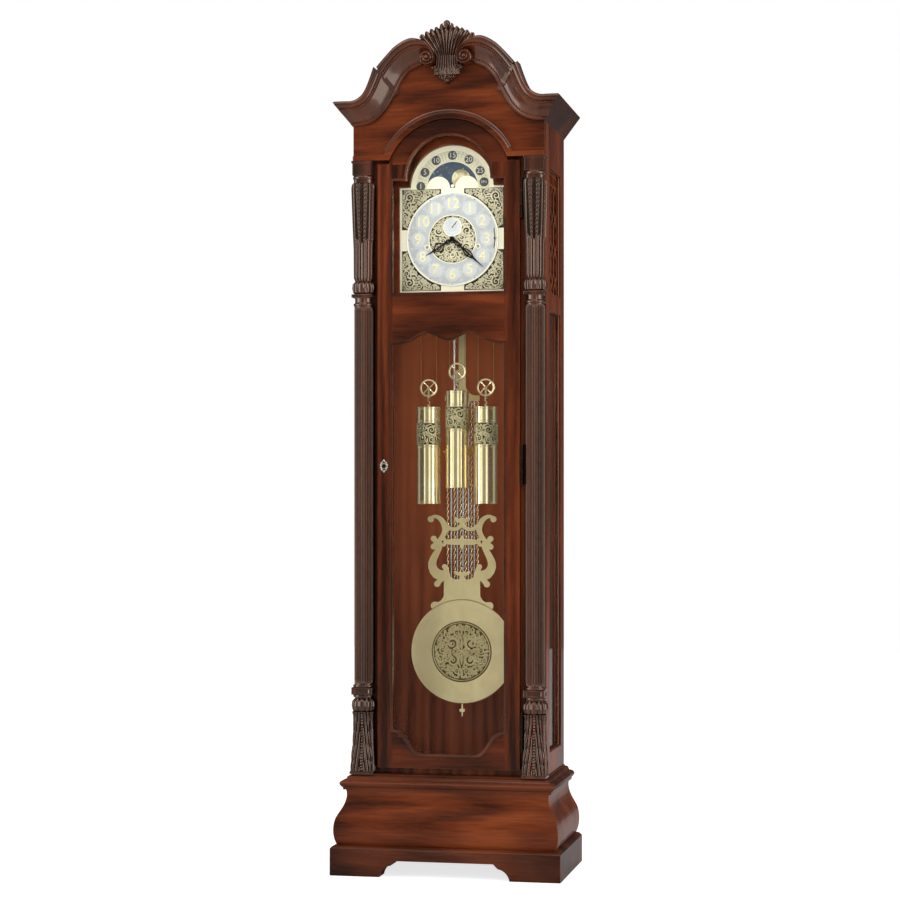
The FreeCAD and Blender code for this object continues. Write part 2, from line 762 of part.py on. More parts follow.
def selector_slot(y0, y1, half_angle, half_width):
    radius = chapter_outer - 8
    ring = tube(radius + half_width, radius - half_width, point(0, y0, dial_z), point(0, y1, dial_z))
    sweep = []
    for degrees in (90 - half_angle, 90 + half_angle):
        angle = math.radians(degrees)
        sweep.append(point(2 * radius * math.sin(angle), y0, dial_z + 2 * radius * math.cos(angle)))
    corner = point(0, y0, dial_z)
    wedge = Part.Face(Part.makePolygon([corner, sweep[0], sweep[1], corner])).extrude(point(0, y1 - y0, 0))
    return ring.common(wedge)


def make_spandrels(front):
    disc = rod(chapter_outer + 2, point(0, front, dial_z), point(0, dial_y, dial_z))
    low = dial_low + 4
    corner = dial_half - 4
    lower = box(corner - 62, corner, front, dial_y, low, low + 62).cut(disc)
    upper = box(corner - 62, corner, front, dial_y, dial_arch_z - 64, dial_arch_z - 2).cut(disc)
    write("spandrels", with_mirror(lower) + with_mirror(upper))


def make_moon(back):
    y0 = back + flat_gap
    disc = rod(moon_radius, point(0, y0, moon_z), point(0, y0 + 1, moon_z))
    bore = rod(3 + running_clearance, point(0, y0, moon_z), point(0, y0 + 1, moon_z))
    write("moon_disc", [disc.cut(bore)])


def hand(x, z, length, angle, half, y0, bore):
    """A leaf-shaped hand with a round boss, turned clockwise from twelve."""
    boss = half * 1.6
    blade = outline_slab((x, z), [
        (x - half * 0.4, z + length * 0.1), ((x - half, z + length * 0.55), (x, z + length)),
        ((x + half, z + length * 0.55), (x + half * 0.4, z + length * 0.1)), (x, z)],
        y0, y0 + hand_thickness)
    blade = blade.fuse(rod(boss, point(x, y0, z), point(x, y0 + hand_thickness, z)))
    blade = blade.cut(rod(bore, point(x, y0, z), point(x, y0 + hand_thickness, z)))
    blade.rotate(point(x, y0, z), point(0, 1, 0), angle)
    return blade


def make_hands():
    front = dial_y - relief
    second_y = front - 1.2
    hour_y = second_y - 2.2
    minute_y = hour_y - 2.4
    seconds_z = dial_z + seconds_rise
    second = hand(0, seconds_z, seconds_radius - 2, second_angle, 1.2, second_y, 0.8)
    write("second_hand", [second])
    hour = hand(0, dial_z, hour_length, hour_angle, 8, hour_y, 4.5)
    pipe_end = front_plate_y - flat_gap
    pipe = tube(4.5, 2 + running_clearance, point(0, hour_y, dial_z), point(0, pipe_end, dial_z))
    write("hour_hand", [hour.fuse(pipe)])
    write("minute_hand", [hand(0, dial_z, minute_length, minute_angle, 7, minute_y, 2)])
    knob_x = chapter_outer - 8
    arm_y = dial_y + dial_plate_thickness + flat_gap
    selector = rod(2.4, point(knob_x, front - 4, dial_z), point(knob_x, front - 0.5, dial_z))
    stem = rod(1.2, point(knob_x, front - 0.5, dial_z), point(knob_x, arm_y, dial_z))
    arm = box(98, chapter_outer - 4, arm_y, arm_y + 1, dial_z - 3, dial_z + 3)
    write("chime_selector", [selector.multiFuse([stem, arm]).removeSplitter()])
    return minute_y, second_y


# ---- movement ----

def make_movement():
    width = plate_half_width
    front_far = front_plate_y + plate_thickness
    back_far = back_plate_y + plate_thickness
    holes = list(winding_places().values())
    small = [(0, dial_z), (0, dial_z + seconds_rise), (third_x, dial_z + third_rise), (0, pivot_z)]
    top = seat_z + plate_height
    front = box(-width, width, front_plate_y, front_far, seat_z, top)
    back = box(-width, width, back_plate_y, back_far, seat_z, top)
    plates = []
    for plate, y0, y1 in ((front, front_plate_y, front_far), (back, back_plate_y, back_far)):
        for x, z in holes:
            plate = plate.cut(rod(arbor_radius + running_clearance, point(x, y0, z), point(x, y1, z)))
        for x, z in small:
            plate = plate.cut(rod(2 + running_clearance, point(x, y0, z), point(x, y1, z)))
        plates.append(plate)
    bars = []
    inset = width - 8
    for x in (-inset, inset):
        for z in (seat_z + 10, top - 10):
            bars.append(rod(5, point(x, front_far, z), point(x, back_plate_y, z)))
            foot_end = dial_y + dial_plate_thickness
            bars.append(rod(3, point(x, foot_end, z), point(x, front_plate_y, z)))
    posts = [suspension_post(back_far)] + hammer_ears(back_far) + cable_stays()
    write("movement_plates", plates + bars + posts)


def suspension_post(start):
    """A bridge behind the back plate with two ears that carry the pendulum's pin."""
    low = pivot_z + 6
    ear = pendulum_y + pin_half
    bridge = box(-8, 8, start, ear, low, low + 10)
    for y0 in (pendulum_y - pin_half, ear - 3):
        bridge = bridge.fuse(box(-8, 8, y0, y0 + 3, pivot_z - 7, low))
    bore = rod(pin_radius + running_clearance, point(0, pendulum_y - pin_half, pivot_z),
               point(0, ear, pivot_z))
    return bridge.removeSplitter().cut(bore)


def hammer_ears(start):
    """Two ears behind the back plate that carry the chime hammers' arbor."""
    ears = []
    for x in (-first_rod_x + 4, -last_rod_x - 7):
        ear = box(x, x + 3, start, hammer_y + 5, hammer_z - 5, hammer_z + 5)
        ears.append(ear.cut(rod(hammer_arbor + running_clearance, point(x, hammer_y, hammer_z),
                                point(x + 3, hammer_y, hammer_z))))
    return ears


def cable_stays():
    """Eyes under the seatboard that hold the fixed ends of the cables."""
    under = seat_z - seat_thickness
    stays = []
    for x in (cable_half - side_weight_x, cable_half, side_weight_x - cable_half):
        stays.append(rod(3, point(x, weight_y, under - 12), point(x, weight_y, under)))
    return stays


def make_seatboard():
    under = seat_z - seat_thickness
    seat_back = pendulum_y - 16
    seat_front = front_plate_y - 6
    seat = box(-inner_half, inner_half, seat_front, seat_back, under, seat_z)
    reach = drum_length / 2 + 3
    strand_places = (-side_weight_x - cable_half, -cable_half, side_weight_x + cable_half)
    for x in strand_places:
        seat = seat.cut(box(x - 6, x + 6, weight_y - reach, weight_y + reach, under, seat_z))
    cleat = box(inner_half - 20, inner_half, seat_front, seat_back, under - 26, under)
    write("seatboard", [seat] + with_mirror(cleat))


def drum(x, z, radius, front):
    """A grooved barrel on its winding arbor, whose squared end shows in the dial."""
    body = radius - cable_radius - flat_gap
    half = drum_length / 2
    arbor = rod(arbor_radius, point(x, front, z), point(x, back_plate_y + plate_thickness, z))
    barrel = rod(body, point(x, weight_y - half, z), point(x, weight_y + half, z))
    flange = body + 3
    rims = [rod(flange, point(x, weight_y - half - 2, z), point(x, weight_y - half, z)),
            rod(flange, point(x, weight_y + half, z), point(x, weight_y + half + 2, z))]
    return arbor.multiFuse([barrel] + rims)


def make_drums():
    front = dial_y - relief
    places = winding_places()
    for name, radius in (("left", side_drum_radius), ("centre", centre_drum_radius),
                         ("right", side_drum_radius)):
        x, z = places[name]
        solid = drum(x, z, radius, front)
        if name == "centre":
            y0 = back_plate_y - 10
            wheel = toothed_wheel(centre_drum_drop - pinion_radius * 2, 72, x, z, y0, y0 + 3, arbor_radius)
            solid = solid.fuse(wheel)
        write("drum_" + name, [solid.removeSplitter()])


def make_train(minute_y, second_y):
    end = back_plate_y + plate_thickness
    near = front_plate_y + plate_thickness
    arbor = rod(2, point(0, minute_y, dial_z), point(0, end, dial_z))
    wheel = toothed_wheel(centre_wheel_radius, 64, 0, dial_z, near + 8, near + 10, 2)
    pinion = rod(pinion_radius + 1.4, point(0, back_plate_y - 11, dial_z), point(0, back_plate_y - 6, dial_z))
    write("centre_wheel", [arbor.multiFuse([wheel, pinion]).removeSplitter()])
    x = third_x
    z = dial_z + third_rise
    arbor = rod(2, point(x, front_plate_y, z), point(x, end, z))
    wheel = toothed_wheel(third_wheel_radius, 60, x, z, near + 14, near + 16, 2)
    pinion = rod(pinion_radius, point(x, near + 7, z), point(x, near + 11, z))
    write("third_wheel", [arbor.multiFuse([wheel, pinion]).removeSplitter()])
    z = dial_z + seconds_rise
    arbor = rod(2, point(0, front_plate_y, z), point(0, end, z))
    nose = rod(0.8, point(0, second_y, z), point(0, front_plate_y, z))
    wheel = toothed_wheel(escape_radius, 30, 0, z, back_plate_y - 8, back_plate_y - 6, 2)
    pinion = rod(pinion_radius - 0.2, point(0, near + 13, z), point(0, near + 17, z))
    write("escape_wheel", [arbor.multiFuse([nose, wheel, pinion]).removeSplitter()])


def make_anchor():
    end = back_plate_y + plate_thickness
    z = pivot_z
    wheel_z = dial_z + seconds_rise
    arbor = rod(2, point(0, front_plate_y, z), point(0, end + 8, z))
    y0 = back_plate_y - 8
    reach = escape_radius + 3
    arms = outline_slab((0, z + 5), [
        ((reach, z - 4), (reach + 3, wheel_z + 4)), (reach - 0.5, wheel_z + 4),
        ((reach - 6, z - 10), (0, z - 6)), ((6 - reach, z - 10), (0.5 - reach, wheel_z + 4)),
        (-reach - 3, wheel_z + 4), ((-reach, z - 4), (0, z + 5))], y0, y0 + 2)
    crutch = box(-3, 3, end + 5, end + 7, z - 90, z)
    fork = box(-3, 3, end + 5, pendulum_y - strap_thickness / 2 - flat_gap, z - 94, z - 90)
    write("anchor", [arbor.multiFuse([arms, crutch, fork]).removeSplitter()])


def make_chimes():
    block_low = hammer_z + 48
    block_back = back_y - back_thickness
    tip = rods_y - chime_rod_radius - 6
    rods = []
    pieces = [rod(hammer_arbor, point(-last_rod_x - 7, hammer_y, hammer_z),
                  point(-first_rod_x + 7, hammer_y, hammer_z))]
    for index in range(chime_count):
        x = -first_rod_x - chime_pitch * index
        low = long_rod_low if index == 0 else block_low - 140 - 10 * index
        rods.append(rod(chime_rod_radius, point(x, rods_y, low), point(x, rods_y, block_low)))
        pieces.append(box(x - 1.5, x + 1.5, hammer_y - 1.5, hammer_y + 1.5, hammer_z, hammer_z + 30))
        pieces.append(rod(4, point(x, hammer_y - 8, hammer_z + 32), point(x, tip, hammer_z + 32)))
    block = box(-last_rod_x - 10, 10 - first_rod_x, rods_y - 9, block_back, block_low, block_low + 34)
    write("chime_rods", rods + [block])
    write("chime_hammers", [pieces[0].multiFuse(pieces[1:]).removeSplitter()])


# ---- weights and cables ----

def make_weights():
    tops = {"left": (-side_weight_x, arch_z - weight_top_drop_side),
            "centre": (0, arch_z - weight_top_drop_centre),
            "right": (side_weight_x, arch_z - weight_top_drop_side)}
    drums = winding_places()
    for name, (x, top) in tops.items():
        pulley_z = top + pulley_above_weight
        make_weight(name, x, top, pulley_z)
        make_pulley(name, x, pulley_z)
        drum_z = drums[name][1]
        drum_side = 1 if name == "right" else -1
        moving = x + drum_side * cable_half
        fixed = x - drum_side * cable_half
        stay = seat_z - seat_thickness - 12
        strands = [rod(cable_radius, point(moving, weight_y, pulley_z), point(moving, weight_y, drum_z)),
                   rod(cable_radius, point(fixed, weight_y, pulley_z), point(fixed, weight_y, stay))]
        write("cable_" + name, strands)


def make_weight(name, x, top, pulley_z):
    low = top - weight_length
    band_high = top - band_drop
    band_low = band_high - band_length
    r = weight_radius
    body = revolved([(0, low), (r + 0.6, low), (r + 0.6, low + 3), (r, low + 3), (r, band_low - 3),
                     (r + 1, band_low - 3), (r + 1, band_high + 3), (r, band_high + 3), (r, top - 3),
                     (r + 0.6, top - 3), (r + 0.6, top), (0, top)], x, weight_y)
    side = pulley_width / 2 + 1
    bar = pulley_z - pulley_radius - 6
    axle = rod(2.5, point(x, weight_y - side - 1.2, pulley_z), point(x, weight_y + side + 1.2, pulley_z))
    pieces = [axle]
    for y0 in (weight_y - side - 1.2, weight_y + side):
        pieces.append(box(x - 2.5, x + 2.5, y0, y0 + 1.2, bar, pulley_z))
    pieces.append(box(x - 2.5, x + 2.5, weight_y - side - 1.2, weight_y + side + 1.2, bar - 3, bar))
    pieces.append(rod(2, point(x, weight_y, top), point(x, weight_y, bar - 3)))
    hanger = pieces[0].multiFuse(pieces[1:]).removeSplitter()
    write("weight_" + name, [body, hanger, cable_loop(x, pulley_z)])


def cable_loop(x, z):
    """The half turn of cable under the pulley."""
    ring = Part.makeTorus(cable_half, cable_radius, point(x, weight_y, z), point(0, 1, 0))
    reach = cable_half + cable_radius
    return ring.common(box(x - reach, x + reach, weight_y - 3, weight_y + 3, z - reach, z))


def make_pulley(name, x, z):
    groove = cable_half - cable_radius - flat_gap
    half = pulley_width / 2
    front = weight_y - half
    back = weight_y + half
    lip = 1.3
    wheel = rod(groove, point(x, front, z), point(x, back, z))
    wheel = wheel.multiFuse([rod(pulley_radius, point(x, front, z), point(x, front + lip, z)),
                             rod(pulley_radius, point(x, back - lip, z), point(x, back, z))])
    rim = groove - 3
    window = tube(rim, 6, point(x, front, z), point(x, back, z))
    spoke = 1.5
    for degrees in (45, 135):
        bar = box(x - spoke, x + spoke, front, back, z - rim, z + rim)
        bar.rotate(point(x, front, z), point(0, 1, 0), degrees)
        window = window.cut(bar)
    wheel = wheel.cut(window).cut(rod(2.5 + running_clearance, point(x, front, z), point(x, back, z)))
    write("pulley_" + name, [wheel.removeSplitter()])


# ---- pendulum ----

def make_pendulum():
    y0 = pendulum_y - strap_thickness / 2
    y1 = pendulum_y + strap_thickness / 2
    yoke_low = pivot_z - yoke_drop
    yoke_high = yoke_low + yoke_height
    neck = yoke_high + 34
    leader = half_outline_slab((0, yoke_low), [
        (yoke_half, yoke_low), (yoke_half, yoke_high), (yoke_half - 9, yoke_high),
        ((strap_half + 7, yoke_high + 10), (strap_half, neck)), (strap_half, pivot_z + 3), (0, pivot_z + 3)],
        y0, y1)
    pin = rod(pin_radius, point(0, pendulum_y - pin_half, pivot_z), point(0, pendulum_y + pin_half, pivot_z))
    write("pendulum_leader", [leader.fuse(pin)])
    make_grid(yoke_low)
    make_lyre()
    make_bob()


def make_grid(yoke_low):
    low = bob_z + grid_foot
    spacer_z = pivot_z - spacer_drop
    spacer_half = 10
    rods = []
    half_count = 5
    for index in range(-half_count, half_count + 1):
        x = index * rod_pitch
        rods.append(rod(rod_radius, point(x, pendulum_y, low), point(x, pendulum_y, yoke_low)))
    reach = half_count * rod_pitch + 6
    bar = box(-reach, reach, pendulum_y - 4, pendulum_y + 4, spacer_z - spacer_half, spacer_z + spacer_half)
    write("pendulum_rods", [rods[0].multiFuse(rods[1:] + [bar]).removeSplitter()])


def make_lyre():
    """The flat lyre that joins the grid to the bob: two scrolled arms, a crossbar and a foot."""
    y0 = pendulum_y - rod_radius - lyre_thickness
    z = bob_z
    reach = bob_radius + lyre_gap
    foot = [(reach * math.sin(math.radians(a)), z + reach * math.cos(math.radians(a))) for a in (0, 18, 36)]
    outer = half_outline_slab(foot[0], [
        (foot[1], foot[2]), (92, z + 130), ((66, z + 138), (52, z + 160)),
        ((62, z + 182), (80, z + 182)), ((98, z + 205), (97, z + 236)), ((92, z + 262), (80, z + 280)),
        ((90, z + 300), (82, z + 318)), ((97, z + 340), (88, z + 364)), ((70, z + 372), (58, z + 356)),
        ((54, z + 336), (48, z + 312)), (0, z + 312)], y0, y0 + lyre_thickness)
    throat = half_outline_slab((0, z + 168), [
        (22, z + 176), ((44, z + 196), (50, z + 236)), ((54, z + 258), (48, z + 276)), (0, z + 276)],
        y0, y0 + lyre_thickness)
    write("pendulum_lyre", [outer.cut(throat)])


def make_bob():
    back = pendulum_y + bob_edge / 2
    front = pendulum_y - bob_edge / 2
    centre_y = front - bob_crown
    dome = (bob_radius ** 2 + bob_crown ** 2) / (2 * bob_crown)
    disc = rod(bob_radius, point(0, centre_y, bob_z), point(0, back, bob_z))
    ball = Part.makeSphere(dome, point(0, centre_y + dome, bob_z))
    seat = centre_y + bob_crown * (medallion_radius / bob_radius) ** 2
    bob = disc.common(ball).common(rod(bob_radius, point(0, seat, bob_z), point(0, back, bob_z)))
    medal = rod(medallion_radius, point(0, centre_y - 1, bob_z), point(0, seat, bob_z))
    half = rod_pitch * 5
    stem = box(-half, half, pendulum_y - rod_radius, pendulum_y + rod_radius, bob_z + bob_radius + 0.1,
               bob_z + grid_foot)
    write("pendulum_bob", [bob, medal, stem])
    low = bob_z - bob_radius - 34
    stud = rod(2, point(0, pendulum_y, low), point(0, pendulum_y, bob_z - bob_radius))
    nut = rod(8, point(0, pendulum_y, low + 12), point(0, pendulum_y, low + 20))
    write("rating_nut", [stud.fuse(nut)])


def main():
    os.makedirs("parts", exist_ok=True)
    make_plinth()
    make_bombe()
    make_base_moulding()
    make_base_boards()
    make_sides()
    make_face_frame()
    make_columns()
    make_crown()
    make_pediment()
    make_shell()
    make_door()
    make_hinges()
    make_dial()
    minute_y, second_y = make_hands()
    make_movement()
    make_seatboard()
    make_drums()
    make_train(minute_y, second_y)
    make_anchor()
    make_chimes()
    make_weights()
    make_pendulum()


main()
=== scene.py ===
import json
import math

import bmesh
import bpy
import numpy as np
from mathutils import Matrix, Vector

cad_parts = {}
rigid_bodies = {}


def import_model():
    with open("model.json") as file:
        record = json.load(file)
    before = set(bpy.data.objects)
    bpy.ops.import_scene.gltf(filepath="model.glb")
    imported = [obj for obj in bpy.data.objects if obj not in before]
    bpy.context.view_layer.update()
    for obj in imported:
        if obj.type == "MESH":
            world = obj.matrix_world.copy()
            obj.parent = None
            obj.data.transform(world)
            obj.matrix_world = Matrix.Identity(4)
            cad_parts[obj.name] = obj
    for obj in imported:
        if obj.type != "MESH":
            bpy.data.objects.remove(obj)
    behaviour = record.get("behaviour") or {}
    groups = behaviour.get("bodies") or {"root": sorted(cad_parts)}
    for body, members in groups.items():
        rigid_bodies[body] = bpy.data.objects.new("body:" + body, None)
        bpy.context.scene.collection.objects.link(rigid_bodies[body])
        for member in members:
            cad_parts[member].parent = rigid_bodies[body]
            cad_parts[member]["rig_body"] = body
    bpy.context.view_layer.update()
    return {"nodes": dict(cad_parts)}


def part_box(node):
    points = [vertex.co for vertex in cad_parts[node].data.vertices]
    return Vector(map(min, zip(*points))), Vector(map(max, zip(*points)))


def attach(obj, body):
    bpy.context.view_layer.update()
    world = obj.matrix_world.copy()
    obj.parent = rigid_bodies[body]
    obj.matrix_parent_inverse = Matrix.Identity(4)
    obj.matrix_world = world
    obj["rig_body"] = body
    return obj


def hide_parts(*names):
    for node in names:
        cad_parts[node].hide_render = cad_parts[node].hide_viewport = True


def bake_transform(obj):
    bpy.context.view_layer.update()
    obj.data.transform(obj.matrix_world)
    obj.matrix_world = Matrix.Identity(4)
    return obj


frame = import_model()
nodes = frame["nodes"]
scene = bpy.context.scene
mm = 0.001


def corners(name):
    # the lowest and highest corner of a piece's box, in millimetres
    return [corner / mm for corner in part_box(name)]


def display(red, green, blue):
    # a display colour from 0 to 255, as the linear colour that the shaders use
    parts = [v / 255 for v in (red, green, blue)]
    return tuple(p / 12.92 if p <= 0.04045 else ((p + 0.055) / 1.055) ** 2.4 for p in parts) + (1.0,)


# view, light and floor: one dictionary each

viewing = {"place": (1.2026, -5.8510, 0.9697), "turn": 11.83, "lens": 89.6, "shiftY": 0.0604}
lighting = {"seenWorld": 1.0, "ambient": 0.84, "behind": 0.06,
            "left": {"place": (-2.9, -1.5, 1.3), "size": (1.9, 2.9), "power": 52},
            "right": {"place": (2.95, -1.35, 1.3), "size": (1.6, 2.9), "power": 40},
            "front": {"place": (2.0, -4.3, 3.4), "size": (1.8, 1.0), "power": 22},
            "top": {"place": (-0.2, -1.7, 3.6), "size": (2.6, 1.2), "power": 16},
            "dial": {"place": (0.35, -3.9, 2.15), "target": (0, -0.07, 1.72), "power": 200, "cone": 8.5},
            # how bright a mirrored direction is, from left to right: dark in front, strips of light beside it
            "strips": ((0.0, 0.4), (0.05, 1.2), (0.12, 0.4), (0.17, 0.4), (0.2, 1.4), (0.28, 1.4), (0.32, 0.3),
                       (0.39, 0.21), (0.53, 0.21), (0.59, 0.4), (0.62, 1.5), (0.7, 1.5), (0.74, 0.4),
                       (0.84, 0.4),
                       (0.88, 1.3), (0.95, 1.2), (1.0, 0.4))}

cameraData = bpy.data.cameras.new("camera")
cameraData.lens = viewing["lens"]
cameraData.sensor_width = 36
cameraData.shift_y = viewing["shiftY"]
camera = bpy.data.objects.new("camera", cameraData)
camera.location = viewing["place"]
camera.rotation_euler = (math.radians(90), 0, math.radians(viewing["turn"]))
scene.collection.objects.link(camera)
scene.camera = camera
scene.view_settings.view_transform = "Standard"


def addLight(name, settings, target=(0, 0, 1.1)):
    data = bpy.data.lights.new(name, "AREA")
    data.shape = "RECTANGLE"
    data.size, data.size_y = settings["size"]
    data.energy = settings["power"]
    return placeLight(name, data, settings, target)


def placeLight(name, data, settings, target):
    lamp = bpy.data.objects.new(name, data)
    lamp.location = settings["place"]
    aim = Vector(target) - Vector(settings["place"])
    lamp.rotation_euler = aim.to_track_quat("-Z", "Y").to_euler()
    scene.collection.objects.link(lamp)
    return lamp


for side in ("left", "right", "front", "top"):
    addLight(side + "Light", lighting[side])
dialBeam = bpy.data.lights.new("dialBeam", "SPOT")
dialBeam.energy = lighting["dial"]["power"]
dialBeam.spot_size = math.radians(lighting["dial"]["cone"])
dialBeam.spot_blend = 0.8
dialBeam.shadow_soft_size = 0.12
placeLight("dialBeam", dialBeam, lighting["dial"], lighting["dial"]["target"]).visible_glossy = False

# node groups that the finishes share

def newGroup(name, inputs, outputs):
    tree = bpy.data.node_groups.new(name, "ShaderNodeTree")
    for label, kind, value in inputs:
        socket = tree.interface.new_socket(label, in_out="INPUT", socket_type="NodeSocket" + kind)
        if value is not None:
            socket.default_value = value
    for label, kind in outputs:
        tree.interface.new_socket(label, in_out="OUTPUT", socket_type="NodeSocket" + kind)
    return tree, tree.nodes.new("NodeGroupInput"), tree.nodes.new("NodeGroupOutput")


def setInputs(tree, made, inputs):
    # an output is linked, anything else is a fixed value
    for name, value in inputs.items():
        if hasattr(value, "is_output"):
            tree.links.new(value, made.inputs[name])
        else:
            made.inputs[name].default_value = value
    return made


def addNode(tree, kind, inputs=None, **settings):
    made = tree.nodes.new("ShaderNode" + kind)
    for name, value in settings.items():
        setattr(made, name, value)
    return setInputs(tree, made, inputs or {})


def useGroup(tree, group, inputs):
    return addNode(tree, "Group", inputs, node_tree=group).outputs


def arithmetic(tree, operation, first, second=0.0, clamp=False):
    made = addNode(tree, "Math", {0: first, 1: second}, operation=operation, use_clamp=clamp)
    return made.outputs[0]


def blendColours(tree, factor, first, second, kind="MIX"):
    made = addNode(tree, "Mix", {0: factor, 6: first, 7: second}, data_type="RGBA", blend_type=kind)
    return made.outputs[2]


def spread(tree, value, low, high, start=0.0, end=1.0, shape="LINEAR"):
    made = addNode(tree, "MapRange", {"Value": value, "From Min": low, "From Max": high,
                                      "To Min": start, "To Max": end}, interpolation_type=shape)
    return made.outputs["Result"]


def objectPlace(tree):
    return addNode(tree, "TexCoord").outputs["Object"]


def noise(tree, vector, scale, detail=4.0, roughness=0.55, distortion=0.0):
    made = addNode(tree, "TexNoise", {"Vector": vector, "Scale": scale, "Detail": detail,
                                      "Roughness": roughness, "Distortion": distortion})
    return made.outputs["Fac"]


def buildWorld():
    # the eye sees white, soft light fills in, and mirrored rays see strips of light over a dark room
    world = bpy.data.worlds.new("studio")
    scene.world = world
    world.use_nodes = True
    sky = world.node_tree
    sky.nodes.clear()
    rays = addNode(sky, "LightPath").outputs
    ahead = addNode(sky, "SeparateXYZ", {0: addNode(sky, "TexCoord").outputs["Generated"]}).outputs
    strips = addNode(sky, "ValToRGB", {0: spread(sky, ahead["X"], -1.0, 1.0)})
    stops = strips.color_ramp.elements
    while len(stops) < len(lighting["strips"]):
        stops.new(0.5)
    for stop, (place, level) in zip(stops, lighting["strips"]):
        stop.position = place
        stop.color = (level, level, level, 1)
    mirrored = spread(sky, ahead["Y"], 0.0, 0.5, strips.outputs["Color"], lighting["behind"])
    unseen = spread(sky, rays["Is Glossy Ray"], 0.0, 1.0, lighting["ambient"], mirrored)
    strength = spread(sky, rays["Is Camera Ray"], 0.0, 1.0, unseen, lighting["seenWorld"])
    shade = addNode(sky, "Background", {"Color": (1, 1, 1, 1), "Strength": strength})
    addNode(sky, "OutputWorld", {0: shade.outputs[0]})


buildWorld()
print("view and lights are in place")


def buildCherryFigure():
    # broad mottling, growth bands and fine pores of stained cherry
    tree, start, end = newGroup("cherryFigure", [
        ("Vector", "Vector", None), ("Dark Tone", "Color", display(40, 14, 8)),
        ("Mid Tone", "Color", display(92, 38, 20)), ("Light Tone", "Color", display(134, 68, 38)),
        ("Figure Size", "Float", 7.0), ("Pore Size", "Float", 160.0)],
        [("Color", "Color"), ("Pores", "Float"), ("Mottle", "Float")])
    vector = start.outputs["Vector"]
    broad = noise(tree, vector, start.outputs["Figure Size"], 3.0, 0.6, 0.9)
    bands = addNode(tree, "TexWave", {"Vector": vector, "Scale": 9.0, "Distortion": 7.0, "Detail": 3.0,
                                      "Detail Scale": 1.4}, bands_direction="X").outputs["Fac"]
    pores = noise(tree, vector, start.outputs["Pore Size"], 5.0, 0.7)
    tone = arithmetic(tree, "ADD", arithmetic(tree, "MULTIPLY", broad, 0.62),
                      arithmetic(tree, "MULTIPLY", pores, 0.26))
    tone = arithmetic(tree, "ADD", tone, arithmetic(tree, "MULTIPLY", bands, 0.12))
    low = spread(tree, tone, 0.36, 0.52, shape="SMOOTHSTEP")
    high = spread(tree, tone, 0.48, 0.68, shape="SMOOTHSTEP")
    colour = blendColours(tree, low, start.outputs["Dark Tone"], start.outputs["Mid Tone"])
    colour = blendColours(tree, high, colour, start.outputs["Light Tone"])
    setInputs(tree, end, {"Color": colour, "Pores": pores, "Mottle": broad})
    return tree


def buildEdgeWear():
    # rubbed lighter along corners, darker in hollows: polish and patina gather there, and on carved wood the
    # darkening is also painted shade
    tree, start, end = newGroup("edgeWear", [
        ("Color", "Color", None), ("Worn Tone", "Color", display(150, 84, 50)),
        ("Hollow Tone", "Color", display(24, 9, 5)), ("Amount", "Float", 0.5), ("Hollows", "Float", 0.0)],
        [("Color", "Color"), ("Edge", "Float")])
    surface = addNode(tree, "NewGeometry").outputs
    eased = addNode(tree, "Bevel", {"Radius": 0.0025}, samples=4).outputs["Normal"]
    match = addNode(tree, "VectorMath", {0: surface["Normal"], 1: eased},
                    operation="DOT_PRODUCT").outputs["Value"]
    broken = noise(tree, objectPlace(tree), 55.0, 4.0)
    edge = spread(tree, match, 0.995, 0.9)
    edge = arithmetic(tree, "MULTIPLY", edge, spread(tree, broken, 0.3, 0.62))
    edge = arithmetic(tree, "MULTIPLY", edge, start.outputs["Amount"], True)
    hollow = arithmetic(tree, "MULTIPLY", spread(tree, surface["Pointiness"], 0.49, 0.43),
                        start.outputs["Hollows"], True)
    colour = blendColours(tree, edge, start.outputs["Color"], start.outputs["Worn Tone"])
    colour = blendColours(tree, hollow, colour, start.outputs["Hollow Tone"])
    setInputs(tree, end, {"Color": colour, "Edge": edge})
    return tree


def buildGlaze():
    # colour from high to deep, following how far a carving or casting stands up; on carved wood the deep colour
    # is partly dark polish, partly painted shade
    tree, start, end = newGroup("reliefGlazeAndShade", [
        ("Color", "Color", None), ("Deep Tone", "Color", display(16, 8, 5)),
        ("Low", "Float", 0.15), ("High", "Float", 0.75), ("Speckle", "Float", 0.25)],
        [("Color", "Color"), ("Depth", "Float")])
    relief = addNode(tree, "Attribute", attribute_name="relief").outputs["Fac"]
    speck = noise(tree, objectPlace(tree), 420.0, 3.0)
    moved = arithmetic(tree, "ADD", relief, arithmetic(
        tree, "MULTIPLY", arithmetic(tree, "SUBTRACT", speck, 0.5), start.outputs["Speckle"]))
    depth = spread(tree, moved, start.outputs["Low"], start.outputs["High"], shape="SMOOTHSTEP")
    colour = blendColours(tree, depth, start.outputs["Deep Tone"], start.outputs["Color"])
    setInputs(tree, end, {"Color": colour, "Depth": depth})
    return tree


def buildBrushing():
    # fine parallel lines left by brushing or turning a metal
    tree, start, end = newGroup("brushing", [
        ("Vector", "Vector", None), ("Fineness", "Float", 900.0), ("Smudge Size", "Float", 14.0)],
        [("Lines", "Float"), ("Smudge", "Float")])
    lines = noise(tree, start.outputs["Vector"], start.outputs["Fineness"], 3.0, 0.7)
    smudge = noise(tree, objectPlace(tree), start.outputs["Smudge Size"], 4.0, 0.6, 0.4)
    setInputs(tree, end, {"Lines": lines, "Smudge": smudge})
    return tree


cherryFigure = buildCherryFigure()
edgeWear = buildEdgeWear()
reliefGlazeAndShade = buildGlaze()
brushing = buildBrushing()


def newMaterial(name, fixed):
    made = bpy.data.materials.new(name)
    made.use_nodes = True
    tree = made.node_tree
    return made, tree, setInputs(tree, tree.nodes["Principled BSDF"], fixed)


def finishMaterial(made, surface, colour, rough, height, strength, distance):
    tree = made.node_tree
    bump = addNode(tree, "Bump", {"Height": height, "Strength": strength, "Distance": distance})
    setInputs(tree, surface, {"Base Color": colour, "Roughness": rough, "Normal": bump.outputs["Normal"]})
    return made


